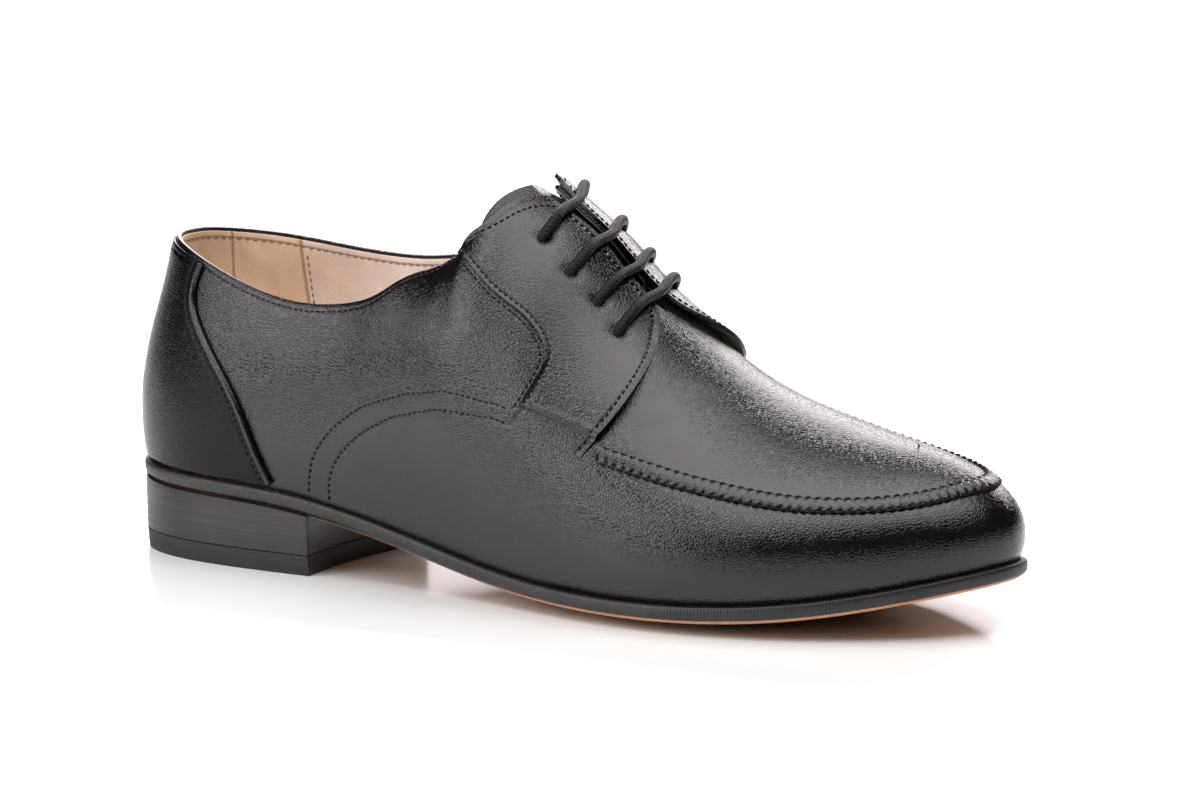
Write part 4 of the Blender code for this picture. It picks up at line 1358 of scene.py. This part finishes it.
def lace_finish():
    """Waxed black cord with a fine diagonal braid, with painted shade in its grooves and painted light on its
    strands.
    """
    made, tree, shader = new_material("waxed lace")
    place = node(tree, "ShaderNodeUVMap", uv_map="UVMap").outputs[0]
    parts = node(tree, "ShaderNodeSeparateXYZ", {0: place})
    heights = []
    for turn in (-1.0, 1.0):
        lay = maths(tree, "MULTIPLY", parts.outputs[0], 1.0 / 1.3)
        lay = maths(tree, "MULTIPLY_ADD", parts.outputs[1], 6.0 * turn, lay)
        heights.append(maths(tree, "SINE", maths(tree, "MULTIPLY", lay, 2.0 * math.pi)))
    braid = maths(tree, "MAXIMUM", heights[0], heights[1])
    share = span(tree, braid, -0.6, 1.0, 0.0, 1.0)
    cord = colours().lace
    # Painted shade and light: the braid's grooves darker, its raised strands lighter
    set_link(tree, shader, "Base Color", blend(tree, share, tint(cord, 0.5), tint(cord, 1.8)))
    set_link(tree, shader, "Specular IOR Level", 0.22)
    set_link(tree, shader, "Roughness", span(tree, braid, -0.6, 1.0, 0.62, 0.42))
    set_link(tree, shader, "Normal", bump(tree, share, 0.00022, 0.9))
    return made


def plate_point(x, f, inset, z):
    """Point of a flat layer at x, a fraction f from the lateral (-1) to the medial edge (1)."""
    s = station(x)
    left = outline(s, -1.0, inset)
    right = outline(s, 1.0, inset)
    point = left + (right - left) * ((f + 1.0) / 2.0)[..., None]
    point[..., 2] = z
    return point


class SHOE_OT_insole(bpy.types.Operator):
    """Insole covered with lining leather"""

    bl_idname = "shoe.insole"
    bl_label = "Insole"

    def execute(self, context):
        inset = WELT + WALL + 2 * GAP

        def place(c, r):
            f = 2.0 * r - 1.0
            low = sole_top(c) + GAP
            x = along(c)
            cup = 0.5 * np.abs(f) ** 3
            inner = plate_point(x, f, inset + 0.0 * x, low)
            outer = plate_point(x, f, inset + 0.0 * x, low + INSOLE_THICKNESS - 0.5 + cup)
            return outer, inner, {"foot_x": x}
        quarter, heel = colours().quarter_lining, colours().heel_lining
        finish = leather("insole leather", [0.8 * v for v in heel], quarter, 0.5,
                         (("foot_x", 92.0, 0.6),), 0.0014)
        thick_sheet("insole_cover", [(150, 40, place)], 0.5, finish, ["insole"],
                    ("foot_x",))
        return {"FINISHED"}


class SHOE_OT_outsole(bpy.types.Operator):
    """Leather sole with an inked, milled edge and a bare bevel and bottom"""

    bl_idname = "shoe.outsole"
    bl_label = "Outsole"

    def execute(self, context):
        t = np.linspace(0.0, 1.0, 22)
        edge = np.stack([path(SOLE_EDGE, i)(t) for i in (0, 1)], axis=-1)
        edge[:, 1] = np.clip(edge[:, 1], 0.0, SOLE_THICKNESS)
        across = np.linspace(-0.88, 0.88, 12)
        inner, outer = edge[0][0], edge[-1][0]
        ring = [(-1.0, inset, drop) for inset, drop in edge]
        ring += [(f, outer, SOLE_THICKNESS) for f in across]
        ring += [(1.0, inset, drop) for inset, drop in edge[::-1]]
        ring += [(f, inner, 0.0) for f in across[::-1]]
        ring = np.array(ring + [ring[0]])
        columns, rows = 260, len(ring) - 1
        bm = bmesh.new()
        bm.verts.layers.float.new("drop")
        bm.verts.layers.float.new("run")
        drop_layer = bm.verts.layers.float.get("drop")
        run_layer = bm.verts.layers.float.get("run")
        grid, spots = grid_in(bm, columns, rows)
        s = spots[:, 0]
        f, inset, drop = ring[np.rint(spots[:, 1] * rows).astype(int)].T
        hang = np.where(drop >= SOLE_THICKNESS - 1e-6, sole_hang(s) * (1.0 - f * f), 0.0)
        z = np.maximum(sole_top(s) - drop - hang, 0.0)
        points = plate_point(along(s), f, inset, z)
        for vert, point, low, place in zip(grid, points, drop, s):
            vert.co = point
            vert[drop_layer] = low
            vert[run_layer] = 360.0 * place
        bmesh.ops.remove_doubles(bm, verts=bm.verts, dist=WELD)
        bmesh.ops.recalc_face_normals(bm, faces=bm.faces)
        finish_piece("sole", bm, sole_finish(), ["outsole"])
        return {"FINISHED"}


def sole_finish():
    """Sole leather: inked black edge with fine milling, bare leather from the bevel down."""
    made, tree, shader = new_material("sole leather")
    fibre = object_noise(tree, 500.0, 5.0, 0.6)
    slow = object_noise(tree, 60.0, 3.0)
    ragged = maths(tree, "MULTIPLY_ADD", fibre, 0.5, mark(tree, "drop"))
    ragged = maths(tree, "MULTIPLY_ADD", slow, 0.3, ragged)
    inked = span(tree, mark(tree, "run"), 150.0, 205.0, 0.75, 0.0)
    bare = span(tree, maths(tree, "SUBTRACT", ragged, inked), 4.35, 4.55, 0.0, 1.0)
    edge, bottom = colours().sole_edge, colours().sole_bottom
    ink = blend(tree, span(tree, slow, 0.35, 0.7, 0.0, 1.0), tint(edge), tint(edge, 2.2))
    worn = blend(tree, span(tree, fibre, 0.35, 0.75, 0.0, 1.0), tint(bottom), tint(bottom, 0.7))
    mill = maths(tree, "SINE", maths(tree, "MULTIPLY", mark(tree, "run"), 2.0 * math.pi / 0.9))
    mill = maths(tree, "MULTIPLY_ADD", fibre, 2.0, mill)
    set_link(tree, shader, "Base Color", blend(tree, bare, ink, worn))
    set_link(tree, shader, "Roughness", mottled(tree, fibre, 0.36, 0.52))
    set_link(tree, shader, "Normal", bump(tree, mill, 0.00006, 0.5))
    return made


def heel_point(c, r, inset, z):
    """Point of a heel layer: c from the back to the hollow breast, r from lateral to medial."""
    f = 2.0 * r - 1.0
    hollow = BREAST_HOLLOW * (1.0 - f * f) * c ** 3
    s = station(HEEL_BREAST) * c
    point = plate_point(along(s), f, inset, z)
    point[..., 0] -= hollow
    return point


class SHOE_OT_heel(bpy.types.Operator):
    """Stacked heel of inked leather layers on a rubber top piece"""

    bl_idname = "shoe.heel"
    bl_label = "Heel"

    def execute(self, context):
        seat = GAP + SOLE_THICKNESS

        def block(c, r):
            s = station(HEEL_BREAST) * c
            outer = heel_point(c, r, HEEL_INSET + 0.0 * c, sole_top(s) - seat + GAP)
            inner = heel_point(c, r, LIFT_INSET + 0.0 * c, LIFT_HEIGHT + GAP + 0.0 * c)
            return outer, inner, {}

        def top_piece(c, r):
            outer = heel_point(c, r, LIFT_INSET + 0.0 * c, LIFT_HEIGHT + 0.0 * c)
            inner = heel_point(c, r, LIFT_FOOT_INSET + 0.0 * c, 0.0 * c)
            return outer, inner, {}
        thick_sheet("heel_stack", [(80, 36, block)], 0.35,
                    heel_finish("inked heel leather", 0.0033, 0.34, 0.8), ["heel"])
        thick_sheet("heel_top_piece", [(80, 36, top_piece)], 0.5,
                    heel_finish("heel rubber", 0.0060, 0.55, 0.7), ["heel_lift"])
        return {"FINISHED"}


def heel_finish(name, layer, roughness, level):
    """Inked heel edge with the lines between its layers and faint brushing along them."""
    made, tree, shader = new_material(name)
    place = node(tree, "ShaderNodeTexCoord").outputs["Object"]
    parts = node(tree, "ShaderNodeSeparateXYZ", {0: place})
    stretched = node(tree, "ShaderNodeMapping", {"Vector": place, "Scale": (60.0, 60.0, 1400.0)})
    brushed = node(tree, "ShaderNodeTexNoise", {"Vector": stretched.outputs[0], "Scale": 1.0, "Detail": 4.0})
    wander = maths(tree, "MULTIPLY_ADD", brushed.outputs[0], 0.0004, parts.outputs[2])
    saw = maths(tree, "FRACT", maths(tree, "DIVIDE", wander, layer))
    line = span(tree, maths(tree, "ABSOLUTE", maths(tree, "SUBTRACT", saw, 0.5)), 0.0, 0.07, 0.0, 1.0)
    height = maths(tree, "MULTIPLY_ADD", brushed.outputs[0], 0.4, line)
    deep, light = tint((0.004, 0.0037, 0.004), level), tint((0.011, 0.010, 0.0105), level)
    set_link(tree, shader, "Base Color", blend(tree, span(tree, height, 0.2, 1.3, 0.0, 1.0), deep, light))
    set_link(tree, shader, "Roughness", mottled(tree, brushed.outputs[0], roughness - 0.06, roughness + 0.08))
    set_link(tree, shader, "Normal", bump(tree, height, 0.00006, 0.5))
    return made


def aim(thing, target):
    """Turn a camera or a light towards a point."""
    thing.rotation_euler = (Vector(target) - thing.location).to_track_quat("-Z", "Y").to_euler()


def floor_finish(stage):
    """Pale floor, darkened away from the shoe by painted shade, that glows a little round the shoe as painted
    light.
    """
    made, tree, shader = new_material("pale floor")
    place = node(tree, "ShaderNodeTexCoord").outputs["Object"]
    cloud = object_noise(tree, 3.0, 2.0)
    tone = blend(tree, cloud, (0.84, 0.89, 0.855, 1.0), (0.86, 0.91, 0.875, 1.0))
    right = (math.cos(stage.azimuth), math.sin(stage.azimuth), 0.0)
    front = (math.sin(stage.azimuth), -math.cos(stage.azimuth), 0.0)
    aside, ahead = (
        node(tree, "ShaderNodeVectorMath", {0: place, 1: way}, operation="DOT_PRODUCT").outputs["Value"]
        for way in (right, front))
    behind = maths(tree, "MINIMUM", ahead, 0.0)
    aside = maths(tree, "MULTIPLY_ADD", behind, 0.13, maths(tree, "ABSOLUTE", aside))
    # Share of painted shade that darkens the floor's colour away from the shoe
    far = maths(tree, "MAXIMUM", span(tree, aside, 0.24, 0.90, 0.0, 1.0),
                span(tree, ahead, 0.36, 1.00, 0.0, 1.0))
    set_link(tree, shader, "Base Color", blend(tree, far, tone, (0.72, 0.76, 0.73, 1.0)))
    set_link(tree, shader, "Roughness", 0.20)
    parts = node(tree, "ShaderNodeSeparateXYZ", {0: place})
    along, across = (
        maths(tree, "SUBTRACT", maths(tree, "ABSOLUTE", parts.outputs[axis]), half)
        for axis, half in enumerate(SHADE_HALF))
    # Painted light: the floor glows round the shoe's patch, though it is no lamp
    glow = span(tree, maths(tree, "MAXIMUM", along, across), 0.04, 0.19, 0.0, 0.8)
    glow = maths(tree, "MULTIPLY", glow, maths(tree, "SUBTRACT", 1.0, far))
    light = blend(tree, glow, (0.0, 0.0, 0.0, 1.0), (1.0, 1.0, 1.0, 1.0))
    set_link(tree, shader, "Emission Color", light)
    set_link(tree, shader, "Emission Strength", 1.0)
    return made


def lay_floor(scene, stage):
    """Floor under the shoe."""
    bm = bmesh.new()
    bmesh.ops.create_grid(bm, x_segments=8, y_segments=8, size=FLOOR_SIZE)
    mesh = bpy.data.meshes.new("floor")
    bm.to_mesh(mesh)
    bm.free()
    floor = bpy.data.objects.new("floor", mesh)
    scene.collection.objects.link(floor)
    mesh.materials.append(floor_finish(stage))


def set_camera(scene, stage):
    """Camera at its azimuth, elevation and distance from what it looks at."""
    back = Vector((math.sin(stage.azimuth) * math.cos(stage.elevation),
                   -math.cos(stage.azimuth) * math.cos(stage.elevation), math.sin(stage.elevation)))
    target = Vector(CAMERA_TARGET)
    camera = bpy.data.objects.new("camera", bpy.data.cameras.new("camera"))
    camera.location = target + back * stage.distance
    aim(camera, target)
    camera.data.sensor_fit = "HORIZONTAL"
    camera.data.sensor_width = SENSOR_WIDTH
    camera.data.lens = stage.lens
    scene.collection.objects.link(camera)
    scene.camera = camera


def hang_lights(scene, stage):
    """Soft lights round the shoe, and the faint light of the room."""
    for name, place, wide, high in LIGHTS:
        data = bpy.data.lights.new(name, "AREA")
        data.shape = "RECTANGLE"
        data.size = wide
        data.size_y = high
        data.energy = getattr(stage, name)
        data.color = stage.tint
        light = bpy.data.objects.new(name, data)
        light.location = place
        aim(light, LIGHT_TARGET)
        scene.collection.objects.link(light)
    world = bpy.data.worlds.new("studio")
    world.use_nodes = True
    room = world.node_tree.nodes["Background"]
    room.inputs["Color"].default_value = (1.0, 1.0, 1.0, 1.0)
    room.inputs["Strength"].default_value = ROOM_LIGHT
    scene.world = world


class SHOE_OT_stage(bpy.types.Operator):
    """Pale floor, soft studio lights and the camera"""

    bl_idname = "shoe.stage"
    bl_label = "Stage"

    def execute(self, context):
        scene = context.scene
        lay_floor(scene, scene.shoe_stage)
        set_camera(scene, scene.shoe_stage)
        hang_lights(scene, scene.shoe_stage)
        scene.view_settings.view_transform = "Standard"
        return {"FINISHED"}


class SHOE_PT_panel(bpy.types.Panel):
    """Sidebar panel that lists the pieces of the shoe"""

    bl_idname = "SHOE_PT_panel"
    bl_label = "Leather Shoe"
    bl_space_type = "VIEW_3D"
    bl_region_type = "UI"
    bl_category = "Shoe"

    def draw(self, context):
        layout = self.layout
        for group in (context.scene.shoe_sizes, context.scene.shoe_colours, context.scene.shoe_stage):
            box = layout.box()
            for name in group.__annotations__:
                box.prop(group, name)
        for operator in OPERATORS:
            layout.operator(operator.bl_idname)


OPERATORS = (
    SHOE_OT_stage, SHOE_OT_upper, SHOE_OT_lining, SHOE_OT_facings, SHOE_OT_tongue, SHOE_OT_counter,
    SHOE_OT_apron_seam, SHOE_OT_seams, SHOE_OT_laces, SHOE_OT_insole, SHOE_OT_outsole, SHOE_OT_heel)
CLASSES = (ShoeSizes, ShoeColours, ShoeStage, *OPERATORS, SHOE_PT_panel)


def register():
    """Register the classes and the scene's settings."""
    for item in CLASSES:
        bpy.utils.register_class(item)
    bpy.types.Scene.shoe_sizes = PointerProperty(type=ShoeSizes)
    bpy.types.Scene.shoe_colours = PointerProperty(type=ShoeColours)
    bpy.types.Scene.shoe_stage = PointerProperty(type=ShoeStage)


def unregister():
    """Take the settings and the classes out again."""
    del bpy.types.Scene.shoe_stage
    del bpy.types.Scene.shoe_colours
    del bpy.types.Scene.shoe_sizes
    for item in reversed(CLASSES):
        bpy.utils.unregister_class(item)


def main():
    """Build the stage and every piece."""
    register()
    bpy.ops.shoe.stage()
    bpy.ops.shoe.upper()
    bpy.ops.shoe.lining()
    bpy.ops.shoe.facings()
    bpy.ops.shoe.tongue()
    bpy.ops.shoe.counter()
    bpy.ops.shoe.apron_seam()
    bpy.ops.shoe.seams()
    bpy.ops.shoe.laces()
    bpy.ops.shoe.insole()
    bpy.ops.shoe.outsole()
    bpy.ops.shoe.heel()


if __name__ == "__main__":
    main()
